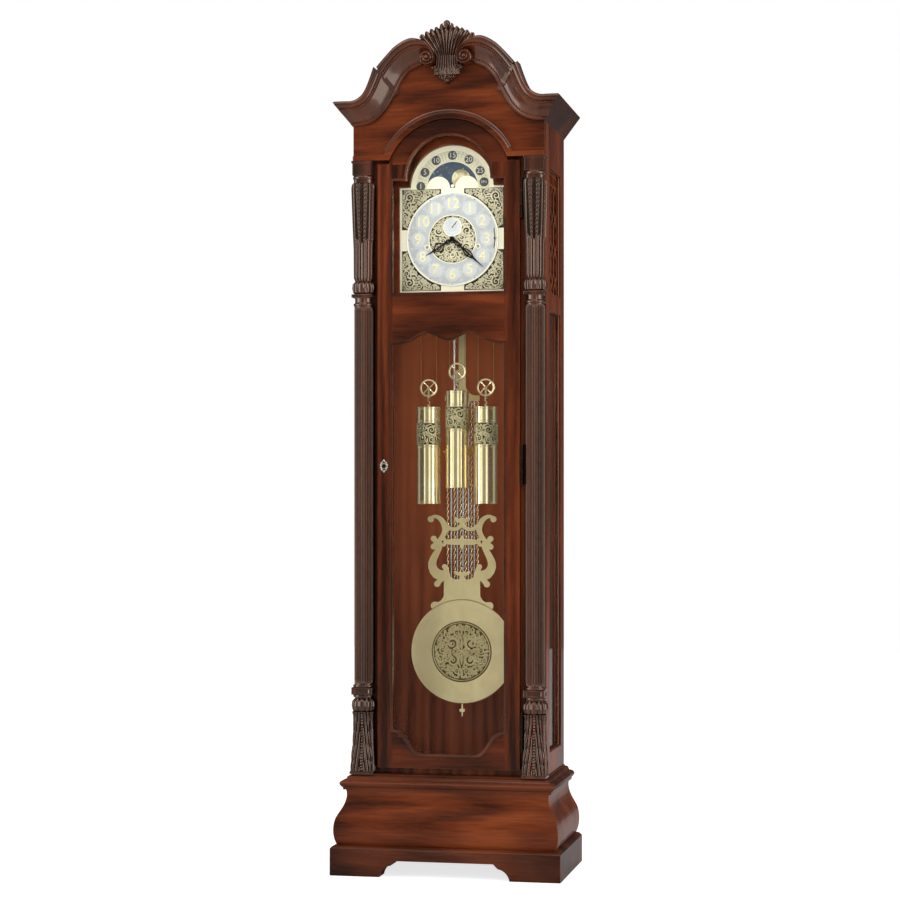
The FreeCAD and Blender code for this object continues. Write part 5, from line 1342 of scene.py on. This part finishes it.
def buildArch():
    shape = newShape()
    arch, front = dial["archZ"], dialFront - 0.9
    speckle = [curl(r * math.sin(a), r * math.cos(a), 2.6, 0.6, k * 50, 380, 0.9, 0.5, 10)
               for k, (r, a) in enumerate((r, math.radians(b)) for r in (74, 80, 87, 94) for b in range(-88,
                   90, 6))]

    def rise(x, z):
        h = reliefField(x, z - arch, speckle)
        return 0.12 * h, np.clip(0.3 + 0.7 * h, 0, 1)

    addRing(shape, 0, arch, 69.2, 98, front, dialFront, rise, 34, 300, -90, 180)
    makePiece(shape, "archRing", "case", archSilver, crease=40)
    shape = newShape()
    words = []
    for text, angle in dial["days"]:
        a = math.radians(angle)
        x, z = 85.5 * math.sin(a), arch + 85.5 * math.cos(a)
        addTurned(shape, [(0, -0.3), (11.4, -0.3), (12.2, 0), (12.2, 0.4), (0, 0.4)], (x, front, z), "Y", 32)
        words.append((text, x, front - 0.5, z, 19 if len(text) < 3 else 9.5))
    makePiece(shape, "dayDiscs", "case", discGrey)
    collectText(words, cartoucheSilver, "dayFigures", "case", 0.3)
    shape = newShape()
    for side in (-1, 1):
        radii = np.linspace(0.5, 27.5, 14)[:, None]
        a = np.radians(np.linspace(-90, 90, 41))[None, :]
        x, z = side * 39.5 + radii * np.sin(a), arch + radii * np.cos(a)
        h = reliefField(x - side * 39.5, z - arch,
                        [curl(0, 12, 8, 1, 0, 500, 2, 1, 24), curl(12, 8, 5, 1, 0, 400, 1.5, 0.8),
                                                    curl(-12, 8, 5, 1, 0, -400, 1.5, 0.8)])
        top = np.stack([x, dialFront - 0.5 - 0.25 * h, z], -1)
        low = np.stack([x, np.full_like(x, dialFront + 1.5), z], -1)
        addPlate(shape, top, low, np.clip(0.55 + 0.45 * h, 0, 1))
    # small finial and rims of the arch
    addTurned(shape, [(0, -2.4), (3, -1.8), (4.4, -0.6), (4.4, 0.4), (0, 0.4)],
              (0, dialFront - 0.4, arch + 5), "Y", 24)
    for radius in (69.2, 98.3, 111.0):
        a = np.radians(np.linspace(-90, 90, 120))
        line = np.stack([radius * np.sin(a), np.full_like(a, dialFront - 0.7), arch + radius * np.cos(a)], -1)
        addTube(shape, line, 0.8, 6)
    makePiece(shape, "archTrim", "case", dialBrass, crease=40)


moonSizes = {"z": 1795, "stand": 38.8, "angle": 34.5, "clear": 26.5, "stars": 90}


def buildMoon():
    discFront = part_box("moon_disc")[0].y / mm
    shape = newShape()
    draw = np.random.default_rng(11)
    centres = []
    for k in range(2):
        a = math.radians(moonSizes["angle"] + 180 * k)
        centres.append((moonSizes["stand"] * math.sin(a), moonSizes["stand"] * math.cos(a)))
        addTurned(shape, [(0, -0.14), (24, -0.14), (24.5, -0.06), (24.5, 0.1), (0, 0.1)],
                  (centres[k][0], discFront, moonSizes["z"] + centres[k][1]), "Y", 48)
    makePiece(shape, "moonFaces", "moon_disc", moonFace)
    shape = newShape()
    placed = 0
    while placed < moonSizes["stars"]:
        radius, angle = 74 * math.sqrt(draw.random()), 2 * np.pi * draw.random()
        x, z = radius * math.sin(angle), radius * math.cos(angle)
        size = 0.35 + 0.75 * draw.random()
        if any(math.hypot(x - moonX, z - moonZ) < moonSizes["clear"] for moonX, moonZ in centres):
            continue
        points = 10
        a = np.linspace(0, 2 * np.pi, points, endpoint=False)
        r = np.where(np.arange(points) % 2 == 0, size * 1.7, size * 0.75)
        rim = np.stack([x + r * np.sin(a), np.full(points, discFront - 0.1),
                        moonSizes["z"] + z + r * np.cos(a)], -1)
        low = rim.copy()
        low[:, 1] = discFront + 0.05
        addGrid(shape, np.stack([low, rim]), 0.9, wrapAcross=True, caps=True)
        placed += 1
    makePiece(shape, "paintedStars", "moon_disc", starGold)


def moonFaceMaterial():
    # a plain pale moon with soft seas and small craters
    made, tree, surface = newMaterial("moonFace", {})
    place = objectPlace(tree)
    seas = noise(tree, place, 34.0, 3.0, 0.5)
    craters = addNode(tree, "TexVoronoi", {"Vector": place, "Scale": 150.0}).outputs["Distance"]
    colour = blendColours(tree, spread(tree, seas, 0.42, 0.6), display(236, 222, 178), display(150, 140, 98))
    colour = blendColours(tree, spread(tree, craters, 0.28, 0.1), colour, display(190, 172, 128))
    return finishMaterial(made, surface, colour, spread(tree, seas, 0.3, 0.7, 0.45, 0.6), craters, 0.35, 0.0004)


moonFace = moonFaceMaterial()


def handStrokes(length, broad):
    # a pierced hand pointing up from the origin
    strokes = []
    for side in (-1, 1):
        strokes.append(np.column_stack([splineThrough(
            [(side * 1.2, 6), (side * 4.6, length * 0.16), (side * 1.0, length * 0.30),
             (side * broad, length * 0.46),
             (side * broad * 0.9, length * 0.56), (side * 0.8, length * 0.68)], 10), np.full(51, 1.7)]))
    strokes.append(blade([(0, length * 0.30), (0, length * 0.5), (0, length * 0.7)], 2.2, 12))
    tip = np.linspace(0, 1, 40)
    strokes.append(np.column_stack([np.zeros(40), length * (0.66 + 0.34 * tip), 0.5 + 2.4 * (1 - tip) ** 1.2]))
    strokes.append(np.column_stack([np.zeros(16), np.linspace(0, length * 0.32, 16), np.full(16, 1.5)]))
    strokes.append(np.array([[0, 0, 6.6]]))
    return strokes


def buildHands():
    hands = (("minuteHandPierced", "minute_hand", "minute_train", 113, 6.6, 132),
             ("hourHandPierced", "hour_hand", "hour_hand", 83, 11.0, 239))
    for name, node, body, length, broad, angle in hands:
        low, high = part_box(node)
        front, back = low.y / mm, low.y / mm + 1.0
        strokes = turned(handStrokes(length, broad), angle)
        shape = newShape()

        def field(x, z):
            return discField(x, z - dial["z"], strokes)

        reach = length + 3
        addCutPlate(shape, field, (-reach, dial["z"] - reach), (reach, dial["z"] + reach), 0.6, front, back)
        if node == "hour_hand":
            addTurned(shape, [(0, back - 0.2), (6.4, back - 0.2), (6.4, -74.2), (0, -74.2)],
                      (0, 0, dial["z"]), "Y", 32)
        makePiece(shape, name, body, darkMetal, [node], 40)


buildChapter()
buildDialCentre()
buildSpandrels()
buildArch()
buildMoon()
buildHands()
print("dial is engraved")


# weights, pulleys and cables

weights = {"left": {"x": -77.4, "top": 1229.0, "pulleyZ": 1280.0, "drumZ": 1648.0, "cable": copperCable},
           "centre": {"x": 0.0, "top": 1271.5, "pulleyZ": 1322.5, "drumZ": 1626.6, "cable": oliveCable},
           "right": {"x": 77.4, "top": 1229.0, "pulleyZ": 1280.0, "drumZ": 1648.0, "cable": oliveCable}}
weightSizes = {"y": -15.0, "radius": 31.0, "rim": 31.9, "length": 258.0, "bandDrop": 42.0, "band": 60.0,
               "cableHalf": 21.0, "cableRadius": 1.0}


def bandStrokes():
    width = 2 * np.pi * 31.6 / 4
    tile = [curl(-11, 40, 11, 1.5, 180, 520, 3.0, 1.3, 34), curl(11, 18, 11, 1.5, 0, 520, 3.0, 1.3, 34),
            curl(10, 45, 7.5, 1.2, 200, -460, 2.4, 1.1, 26), curl(-11, 13, 7.5, 1.2, 20, -460, 2.4, 1.1, 26),
            curl(22, 31, 5, 1, 0, 420, 2.0, 1.0), curl(-22, 29, 4.5, 1, 180, 420, 2.0, 1.0),
            curl(0, 52, 4.2, 0.9, 0, 400, 1.8, 0.9), curl(0, 7, 4.2, 0.9, 180, 400, 1.8, 0.9),
            blade([(-2, 22), (2, 30), (-1, 38)], 2.6), blade([(18, 38), (23, 44), (19, 53)], 2.2),
            blade([(-18, 22), (-23, 15), (-19, 6)], 2.2), blade([(-20, 52), (-14, 55), (-8, 52)], 2.0),
            blade([(20, 8), (14, 5), (8, 8)], 2.0), blade([(4, 34), (8, 31), (14, 32)], 2.0),
            blade([(-4, 26), (-8, 28), (-14, 27)], 2.0)]
    tile += fillGaps(tile, (-width / 2, 3), (width / 2, 57), 2.0, 3.2, lambda x, z: 4 < z < 56, 1.7, width)
    strokes = []
    for k in range(-1, 5):
        strokes += [t + np.array([width * (k + 0.5), 0, 0]) for t in tile]
    return strokes


def buildWeights():
    strokes = bandStrokes()
    angles = np.linspace(0, 2 * np.pi, 420, endpoint=False)[None, :]
    rise = np.linspace(0, weightSizes["band"], 118)[:, None]
    h = reliefField(angles * 31.6, rise, strokes)
    edge = np.minimum(rise, weightSizes["band"] - rise)
    border = np.clip(1 - np.abs(edge - 1.6) / 1.3, 0, 1) ** 0.5 + 0 * angles
    h = np.maximum(h * np.clip((edge - 2.2) / 1.5, 0, 1), border)
    radius = 30.6 + 1.7 * h
    for side, place in weights.items():
        x, top, body = place["x"], place["top"], "weight_" + side
        bandTop = top - weightSizes["bandDrop"]
        bandLow = bandTop - weightSizes["band"]
        low = top - weightSizes["length"]
        r, rim = weightSizes["radius"], weightSizes["rim"]
        centre = (x, weightSizes["y"], 0)
        shape = newShape()
        for first, last, lowRim, highRim in ((low, bandLow + 0.4, 1, 0), (bandTop - 0.4, top, 0, 1)):
            profile = [(0, first)]
            if lowRim:
                profile += [(rim - 0.8, first), (rim, first + 0.8), (rim, first + 3.0), (r + 0.2, first + 3.6),
                            (r + 0.2, first + 4.4), (rim - 0.3, first + 5.0), (rim - 0.3, first + 6.4),
                            (r, first + 7)]
            else:
                profile += [(r, first), (r, first + 3), (rim - 0.2, first + 4), (rim - 0.2, first + 5.5),
                            (r, first + 6.5)]
            if highRim:
                profile += [(r, last - 7), (rim - 0.3, last - 6.4), (rim - 0.3, last - 5),
                            (r + 0.2, last - 4.4),
                            (r + 0.2, last - 3.6), (rim, last - 3), (rim, last - 0.8), (rim - 0.8, last),
                            (r - 3, last),
                            (r - 3.6, last - 1), (7, last - 1), (6.6, last), (0, last)]
            else:
                profile += [(r, last - 6.5), (rim - 0.2, last - 5.5), (rim - 0.2, last - 4), (r, last - 3),
                            (r, last),
                            (0, last)]
            addTurned(shape, profile, centre, "Z", 96)
        makePiece(shape, body + "Shell", body, polishedBrass, [body], 25)
        shape = newShape()
        grid = np.stack([x + radius * np.sin(angles), weightSizes["y"] - radius * np.cos(angles),
                         bandLow + rise + 0 * angles], -1)
        addGrid(shape, grid, h, wrapAcross=True, caps=True)
        makePiece(shape, body + "Filigree", body, antiqueBrass, crease=60)
        # cap nut, hook and the two cheeks that hold the pulley
        shape = newShape()
        y, axle = weightSizes["y"], place["pulleyZ"]
        addTurned(shape, [(0, top - 2), (6.5, top - 2), (6.5, top + 1), (3.6, top + 2.2), (3.2, top + 4.5),
                          (4.4, top + 6),
                          (3.4, top + 8.2), (1.6, top + 9.4), (0, top + 9.6)], centre, "Z", 24)
        lowEye, highEye = top + 12, axle - 27.5
        hook = splineThrough([(x, lowEye - 4), (x + 2.6, lowEye - 1), (x + 0.2, lowEye + 2.6),
                              (x - 2.6, lowEye + 5.5),
                              (x, highEye)], 7)
        addTube(shape, np.stack([hook[:, 0], np.full(len(hook), y), hook[:, 1]], -1), 1.1, 8)
        for away in (-1, 1):
            sheet = [(x - 2.6, highEye - 1), (x + 2.6, highEye - 1), (x + 1.9, axle - 20), (x + 1.9, axle - 6),
                     (x + 3.2, axle), (x + 1.6, axle + 2.6), (x - 1.6, axle + 2.6), (x - 3.2, axle),
                     (x - 1.9, axle - 6),
                     (x - 1.9, axle - 20)]
            face = y + away * 4.7
            addSheet(shape, sheet, y + away * 3.7, face)
            addTurned(shape, [(0, 0), (2.4, 0), (2.2, away * 0.8), (0, away * 1.0)], (x, face, axle), "Y", 16)
        square = ((-1, -1), (1, -1), (1, 1), (-1, 1))
        bar = [[(x + a * 2.6, y + b * 4.7, highEye + c) for a, b in square] for c in (-2.2, 0.4)]
        addGrid(shape, np.array(bar), 0.9, wrapAcross=True, caps=True)
        makePiece(shape, body + "Hook", body, antiqueBrass, crease=35)


def buildPulleys():
    for side, place in weights.items():
        x, z, y = place["x"], place["pulleyZ"], weightSizes["y"]
        shape = newShape()
        profile = [(19.2, -2.2), (21.6, -2.8), (23.6, -3), (24, -2.4), (21.4, 0), (24, 2.4), (23.6, 3),
                   (21.6, 2.8),
                   (19.2, 2.2), (18.8, 0)]
        a = np.linspace(0, 2 * np.pi, 72, endpoint=False)[None, :]
        ring = np.array(profile)
        grid = np.stack([x + ring[:, 0:1] * np.sin(a), y + ring[:, 1:2] + 0 * a,
                         z + ring[:, 0:1] * np.cos(a)], -1)
        addGrid(shape, grid, 0.9, wrapAcross=True, wrapAlong=True)
        addTurned(shape, [(0, -2.9), (3.6, -2.9), (4.2, -2.3), (4.2, 2.3), (3.6, 2.9), (0, 2.9)], (x, y, z),
                  "Y", 24)
        for k in range(4):
            turn = math.radians(45 + 90 * k)
            line = np.array([(r, 0.9 * math.sin(r / 19 * np.pi)) for r in np.linspace(3.5, 19.5, 10)])
            path = np.stack([x + line[:, 0] * math.sin(turn) + line[:, 1] * math.cos(turn), np.full(10, y),
                             z + line[:, 0] * math.cos(turn) - line[:, 1] * math.sin(turn)], -1)
            addTube(shape, path, 1.5 + 0.9 * np.abs(np.linspace(-1, 1, 10)) ** 1.5, 8)
        makePiece(shape, "pulley_" + side + "Wheel", "pulley_" + side, polishedBrass,
                  ["pulley_" + side], 30)


def strandGrid(x, y, low, high, radius, pitch, lobes=3, depth=0.18, sides=15, step=0.9):
    z = np.linspace(low, high, int((high - low) / step) + 2)[:, None]
    a = np.linspace(0, 2 * np.pi, sides, endpoint=False)[None, :]
    wave = np.cos(lobes * (a - z * 2 * np.pi / pitch / lobes))
    r = radius * (1 - depth + depth * wave)
    return np.stack([x + r * np.cos(a), y + r * np.sin(a), z + 0 * a], -1), (wave + 1) / 2


def buildCables():
    for side, place in weights.items():
        shape = newShape()
        for away in (-1, 1):
            grid, relief = strandGrid(place["x"] + away * weightSizes["cableHalf"], weightSizes["y"],
                                      place["pulleyZ"],
                                      place["drumZ"], weightSizes["cableRadius"], 4.0)
            addGrid(shape, grid, relief, wrapAcross=True, caps=True)
        rope = makePiece(shape, "cable_" + side + "Strands", None, place["cable"],
                         ["cable_" + side], 60)
        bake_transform(rope)
        shape = newShape()
        a = np.radians(np.linspace(90, 270, 46))
        r = weightSizes["cableHalf"] + 0.95
        line = np.stack([place["x"] + r * np.sin(a), np.full_like(a, weightSizes["y"]),
                         place["pulleyZ"] + r * np.cos(a)], -1)
        addTube(shape, line, weightSizes["cableRadius"] * 0.95, 10)
        makePiece(shape, "cable_" + side + "Bight", "weight_" + side, place["cable"], crease=60)


buildWeights()
buildPulleys()
buildCables()
print("weights hang on their cables")


# pendulum

pendulum = {"y": 52.0, "bobZ": 574.0, "bobRadius": 140.0, "medal": 81.0, "rodLow": 765.0, "rodHigh": 1249.0,
            "brassRods": (-39.5, -20.8, -4.4, 9.1, 25.0, 42.0), "steelRods": (-29.8, -13.0, 2.2, 17.2, 33.2),
            "spacer": (1101.0, 1121.0)}


# the strokes are drawn at their own scale: where their middle and top are, and millimetres for each step
lyreScale = {"middle": 418, "top": 430, "topZ": 932, "across": 0.245, "down": 0.2435, "width": 0.2443}


def lyreStrokes():
    drawn = [[(68, 440, 33), (66, 438, 33)],
             [(74, 422, 17), (92, 411, 17), (112, 408, 18), (135, 411, 20), (160, 424, 23), (185, 445, 27),
              (205, 472, 29), (218, 500, 31), (228, 530, 34), (228, 560, 31), (219, 590, 28), (202, 625, 26),
              (184, 655, 27), (165, 690, 33), (168, 730, 32), (156, 770, 31), (140, 800, 32), (118, 840, 36),
              (98, 880, 39), (84, 925, 43), (86, 968, 46), (104, 1010, 50), (136, 1044, 54), (175, 1058, 55),
              (215, 1066, 52), (240, 1080, 46), (258, 1110, 44), (262, 1150, 46)],
             [(255, 520, 22), (275, 538, 20), (300, 549, 20), (335, 551, 19), (365, 543, 18), (392, 524, 20),
              (410, 506, 24), (418, 500, 26)],
             [(345, 431, 15), (352, 441, 20), (366, 452, 20), (384, 458, 20), (402, 462, 22), (418, 466, 26),
              (418, 440, 12)],
             [(398, 438, 13), (400, 452, 16)],
             [(100, 655, 32), (118, 676, 26), (134, 692, 26), (150, 700, 28)],
             [(100, 743, 32), (118, 722, 26), (134, 706, 26)],
             [(232, 690, 27), (250, 690, 22), (270, 690, 25), (292, 690, 31), (325, 690, 34), (360, 690, 33),
              (392, 688, 32), (418, 692, 38), (418, 650, 20), (418, 634, 12), (418, 735, 22), (418, 752, 12)],
             [(216, 655, 16), (226, 668, 16)], [(216, 726, 16), (226, 712, 16)],
             [(221, 963, 27), (232, 980, 26), (240, 1005, 30), (244, 1035, 32), (250, 1065, 36)],
             [(285, 1120, 38), (310, 1145, 40), (345, 1148, 44), (380, 1150, 46), (418, 1148, 48)],
             [(345, 1025, 15), (356, 1037, 18), (374, 1043, 17), (392, 1046, 18), (418, 1052, 24),
              (418, 1085, 27),
              (416, 1110, 30)], [(396, 1028, 13), (404, 1040, 16)],
             [(140, 1155, 34), (158, 1132, 28), (176, 1112, 28)],
             [(262, 1180, 47), (261, 1215, 46), (261, 1250, 46), (262, 1285, 47), (256, 1310, 46),
              (242, 1335, 46),
              (215, 1366, 42), (180, 1385, 38), (150, 1396, 40), (112, 1396, 44)],
             [(300, y, 48) for y in range(1180, 1400, 20)], [(350, y, 48) for y in range(1180, 1400, 20)],
             [(400, y, 48) for y in range(1180, 1400, 20)], [(418, y, 48) for y in range(1180, 1400, 20)]]
    half = []
    for run in drawn:
        run = np.array(run, float)
        count = np.linspace(0, 1, (len(run) - 1) * 7 + 1) * (len(run) - 1)
        dense = np.stack([np.interp(count, np.arange(len(run)), run[:, k]) for k in range(3)], -1)
        half.append(np.column_stack([(dense[:, 0] - lyreScale["middle"]) * lyreScale["across"],
                                     lyreScale["topZ"] - (dense[:, 1] - lyreScale["top"]) * lyreScale["down"],
                                     dense[:, 2] * lyreScale["width"]]))
    return half + flipped(half)


def buildLyre():
    strokes = lyreStrokes()
    shape = newShape()
    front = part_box("pendulum_lyre")[0].y / mm

    def field(x, z):
        inside = discField(x, z, strokes)
        hole = 3.0 - np.hypot(np.abs(x) - 53.2, z - 869.5)
        bob = np.hypot(x, z - pendulum["bobZ"]) - pendulum["bobRadius"] - 0.6
        return np.minimum(np.minimum(inside, -hole), bob)

    def height(x, z):
        # the edge is eased, so the flat face falls away over its last half millimetre
        inside = np.clip(field(x, z) / 0.7, 0, 1)
        return -0.45 * (1 - inside) ** 2, np.full(len(x), 0.9)

    addCutPlate(shape, field, (-103, 684), (103, 948), 0.9, front, front + 2.6, height)
    for side in (-1, 1):
        addTurned(shape, [(0, -0.9), (1.2, -0.7), (1.9, 0), (1.9, 0.5), (0, 0.5)],
                  (side * 34.8, front, 733.5), "Y", 14)
    makePiece(shape, "pendulumLyre", "pendulum", lyreBrass, ["pendulum_lyre"], 35)


def buildRods():
    y = pendulum["y"]
    shape = newShape()
    for x in pendulum["brassRods"]:
        grid, relief = strandGrid(x, y, pendulum["rodLow"], pendulum["rodHigh"], 3.0, 17.0, 2, 0.36, 14, 1.5)
        addGrid(shape, grid, relief, wrapAcross=True, caps=True)
    low, high = pendulum["spacer"]
    addSheet(shape, [(-46, low), (46, low), (46, high), (-46, high)], y - 4, y + 4)
    knob = [(0, 44), (3.4, 44), (3.6, 46.5), (2.0, 47.2), (3.8, 48.6), (3.2, 51), (0, 52)]
    for side in (-1, 1):
        turnedKnob = [(radius, side * along) for radius, along in knob[::side]]
        addTurned(shape, turnedKnob, (0, y, (low + high) / 2), "X", 18)
    makePiece(shape, "twistedRods", "pendulum", twistBrass, ["pendulum_rods"], 50)
    shape = newShape()
    for x in pendulum["steelRods"]:
        addTurned(shape, [(0, pendulum["rodLow"]), (1.9, pendulum["rodLow"]), (2.3, pendulum["rodLow"] + 1),
                          (2.3, pendulum["rodHigh"] - 0.5), (0, pendulum["rodHigh"] - 0.5)], (x, y, 0), "Z", 16)
    makePiece(shape, "steelRods", "pendulum", steelMetal)


def medalStrokes():
    half = [curl(26, 22, 17, 2, 200, 560, 4.4, 1.7, 44), curl(24, -24, 16, 2, -20, -540, 4.2, 1.7, 42),
            curl(52, 2, 9, 1.5, 0, 460, 2.9, 1.3, 28), curl(13, 52, 9, 1.5, 180, -460, 2.8, 1.2, 28),
            curl(12, -53, 8.5, 1.5, 0, 460, 2.8, 1.2, 28), curl(42, 44, 7.5, 1.2, 0, 440, 2.5, 1.1, 24),
            curl(42, -44, 7.5, 1.2, 180, -440, 2.5, 1.1, 24), curl(62, 24, 5, 1, 0, 400, 2.0, 1.0),
            curl(62, -22, 5, 1, 0, -400, 2.0, 1.0),
            blade([(4, 4), (14, 10), (22, 4)], 3.4), blade([(4, -4), (14, -10), (24, -6)], 3.4),
            blade([(6, 20), (8, 32), (3, 44)], 3.2), blade([(6, -18), (8, -30), (3, -42)], 3.2),
            blade([(28, 48), (34, 56), (30, 66)], 2.8), blade([(28, -48), (34, -56), (30, -66)], 2.8),
            blade([(50, 14), (58, 12), (68, 8)], 2.6), blade([(50, -12), (58, -10), (68, -6)], 2.6),
            blade([(34, 26), (44, 28), (54, 34)], 2.6), blade([(34, -26), (44, -28), (54, -34)], 2.6)]
    strokes = half + flipped(half)
    strokes += [np.array([[0, 0, 6.5]]), blade([(0, 8), (0, 20), (0, 34)], 4.2),
                blade([(0, -8), (0, -20), (0, -34)], 4.2),
                blade([(0, 46), (0, 58), (0, 71)], 4.0), blade([(0, -46), (0, -58), (0, -71)], 4.0)]
    strokes += fillGaps(strokes, (-76, -76), (76, 76), 2.5, 3.8, lambda x, z: 8 < math.hypot(x, z) < 72, 2.0)
    return strokes


def buildBob():
    z, y = pendulum["bobZ"], pendulum["y"]
    radius, medal = pendulum["bobRadius"], pendulum["medal"]
    shape = newShape()
    reach = np.linspace(medal - 2, radius - 3, 26)
    dome = y - 2.5 - 9.0 * (1 - (reach / radius) ** 2)
    profile = [(0, float(dome[0]))] + [(float(r), float(d)) for r, d in zip(reach, dome)]
    profile += [(radius - 1.6, y - 3.0), (radius - 0.4, y - 1.8), (radius, y - 0.4), (radius - 0.2, y + 1.6),
                (radius - 1.2, y + 2.5), (0, y + 2.5)]
    addTurned(shape, profile, (0, 0, z), "Y", 160)
    stemLow, stemHigh = z + radius + 0.2, pendulum["rodLow"]
    stem = [(-44, stemLow), (44, stemLow), (44, stemHigh), (-44, stemHigh)]
    addSheet(shape, stem, y - 2.3, y + 2.3)
    makePiece(shape, "bobDisc", "pendulum", bobBrass, ["pendulum_bob"], 30)
    strokes = medalStrokes()
    shape = newShape()
    base = float(dome[0])

    def rise(x, zz):
        d = np.hypot(x, zz - z)
        h = reliefField(x, zz - z, strokes) * np.clip((medal - 6 - d) / 2, 0, 1)
        line = np.clip(1 - np.abs(d - (medal - 3.6)) / 1.7, 0, 1) ** 0.5
        h = np.maximum(h, line)
        return 0.2 + 2.2 * h, h

    addRing(shape, 0, z, 1.0, medal + 1.0, base - 0.1, base + 0.8, rise, 120, 460)
    makePiece(shape, "bobMedallion", "pendulum", medalBrass, crease=60)


buildLyre()
buildRods()
buildBob()
softenedCopy("pendulum_leader", lyreBrass, "satin_brass", 0.4)
softenedCopy("rating_nut", polishedBrass, "polished_brass", 0.3)
print("pendulum is hung")


# fretwork, beads of the side openings and the lock plate

sides = {"seat": 4.5, "rail": 10.0, "slotDrop": 16.0, "slotHigh": 22.0, "bar": 5.0, "columns": 4, "half": 84.0,
         "strip": 2.3, "bead": 3.0, "fretThick": 1.1}


def buildFretPanels():
    # interlaced pointed ovals under a row of short slots
    low, high = corners("fret_panels")
    pitch = (high.y - low.y - 2 * sides["rail"]) / sides["columns"]
    slotTop = high.z - sides["slotDrop"]
    slotLow = slotTop - sides["slotHigh"]
    patternTop = slotLow - sides["bar"]

    def field(y, z):
        rim = np.maximum(np.maximum(low.y + sides["rail"] - y, y - high.y + sides["rail"]),
                         np.maximum(low.z + sides["rail"] + 3 - z, z - slotTop))
        rim = np.maximum(rim, sides["bar"] / 2 - np.abs(z - (slotLow + patternTop) / 2))
        away = np.abs((y - low.y - sides["rail"]) % (pitch / 2) - pitch / 4)
        rim = np.maximum(rim, np.where(z > patternTop, away - pitch / 4 + 3.0, -9))
        turn = np.pi * (patternTop - z) / sides["half"]
        slope = pitch * 0.62 * np.pi / sides["half"] * np.cos(turn)
        for k in range(-1, sides["columns"] + 1):
            middle = low.y + sides["rail"] + pitch * (k + 0.5)
            for way in (-1, 1):
                off = np.abs(y - middle - way * pitch * 0.62 * np.sin(turn)) / np.sqrt(1 + slope ** 2)
                rim = np.maximum(rim, np.where(z < patternTop, sides["strip"] - off, -9))
        edge = np.minimum(np.minimum(y - low.y, high.y - y), np.minimum(z - low.z, high.z - z))
        return np.minimum(rim, edge)

    shape = newShape()
    addCutPlate(shape, field, (low.y, low.z), (high.y, high.z), 1.5, high.x - 0.2, high.x - sides["fretThick"])
    shape["points"] = [p[:, [1, 0, 2]] for p in shape["points"]]
    mirrorShape(shape)
    makePiece(shape, "fretPanels", "case", fretCherry, ["fret_panels"], 40)


def buildSideBeads():
    shape = newShape()
    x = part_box("fret_panels")[1].x / mm + 3.3
    for name in ("fret_panels", "side_glass"):
        low, high = corners(name)
        inset = sides["seat"] + 2.2
        y0, y1, z0, z1 = low.y + inset, high.y - inset, low.z + inset, high.z - inset
        for y in (y0, y1):
            addTube(shape, [(x, y, z0 - 2), (x, y, (z0 + z1) / 2), (x, y, z1 + 2)], sides["bead"], 12)
        for z in (z0, z1):
            addTube(shape, [(x, y0, z), (x, y0 + 20, z), (x, y1 - 20, z), (x, y1, z)], sides["bead"], 12)
    mirrorShape(shape)
    makePiece(shape, "sideBeads", "case", mouldedCherry, crease=40)


def buildLockPlate():
    low, high = corners("lock_escutcheon")
    middle = (low + high) / 2
    plugLow, plugHigh = corners("lock_plug")
    plug = (plugHigh.x - plugLow.x) / 2 + 0.3
    outline = [np.array([(0, z, 8.6 - abs(z) * 0.25) for z in np.linspace(-6, 6, 13)], float),
               np.array([(0, 11.5, 4.0), (0, 14.6, 2.6), (0, 16.4, 1.5), (0, -11.5, 4.0), (0, -14.6, 2.6),
                         (0, -16.4, 1.5), (-8.2, 3.4, 2.8), (8.2, 3.4, 2.8), (-8.2, -3.4, 2.8),
                         (8.2, -3.4, 2.8),
                         (-5.4, 8.6, 3.0), (5.4, 8.6, 3.0), (-5.4, -8.6, 3.0), (5.4, -8.6, 3.0)], float)]

    def field(x, z):
        inside = discField(x - middle.x, z - middle.z, outline)
        return np.minimum(inside, np.hypot(x - middle.x, z - middle.z) - plug)

    def height(x, z):
        inside = discField(x - middle.x, z - middle.z, outline)
        cord = np.clip(1 - np.abs(inside - 1.2) / 0.8, 0, 1) ** 0.6
        collar = np.clip(1 - np.abs(np.hypot(x - middle.x, z - middle.z) - plug - 1.2) / 1.0, 0, 1) ** 0.6
        raised = np.maximum(cord, collar)
        return 0.7 * raised, 0.25 + 0.75 * raised

    shape = newShape()
    addCutPlate(shape, field, (low.x, low.z), (high.x, high.z), 0.4, low.y + 0.5, low.y + 1.4, height)
    makePiece(shape, "lockPlate", nodes["lock_escutcheon"]["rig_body"], lockSilver,
              ["lock_escutcheon"], 50)


archMould = {"z": 1806.0, "sweep": 62.0,
             "profile": [(169.6, 0), (169.6, 3.5), (171, 6), (174, 6.6), (176, 5), (178, 5.4), (182, 7.6),
                         (185, 9.6),
                         (187, 10), (188, 11.6), (190, 12.4), (192, 11.6), (193, 9), (193, 0)]}


def buildArchMoulding():
    # a moulded band follows the door's arch on the board above it
    shape = newShape()
    angles = np.radians(np.linspace(-archMould["sweep"], archMould["sweep"], 121))[:, None]
    radius = np.array([p[0] for p in archMould["profile"]], float)[None, :]
    stand = np.array([p[1] for p in archMould["profile"]], float)[None, :]
    grid = np.stack([radius * np.sin(angles), boardFace - stand + 0 * angles,
                     archMould["z"] + radius * np.cos(angles)], -1)
    addGrid(shape, grid, 0.85, wrapAcross=True, caps=True)
    makePiece(shape, "archMoulding", "case", mouldedCherry, crease=35)


buildArchMoulding()
buildFretPanels()
buildSideBeads()
buildLockPlate()
print("fretwork and lock plate are fitted")
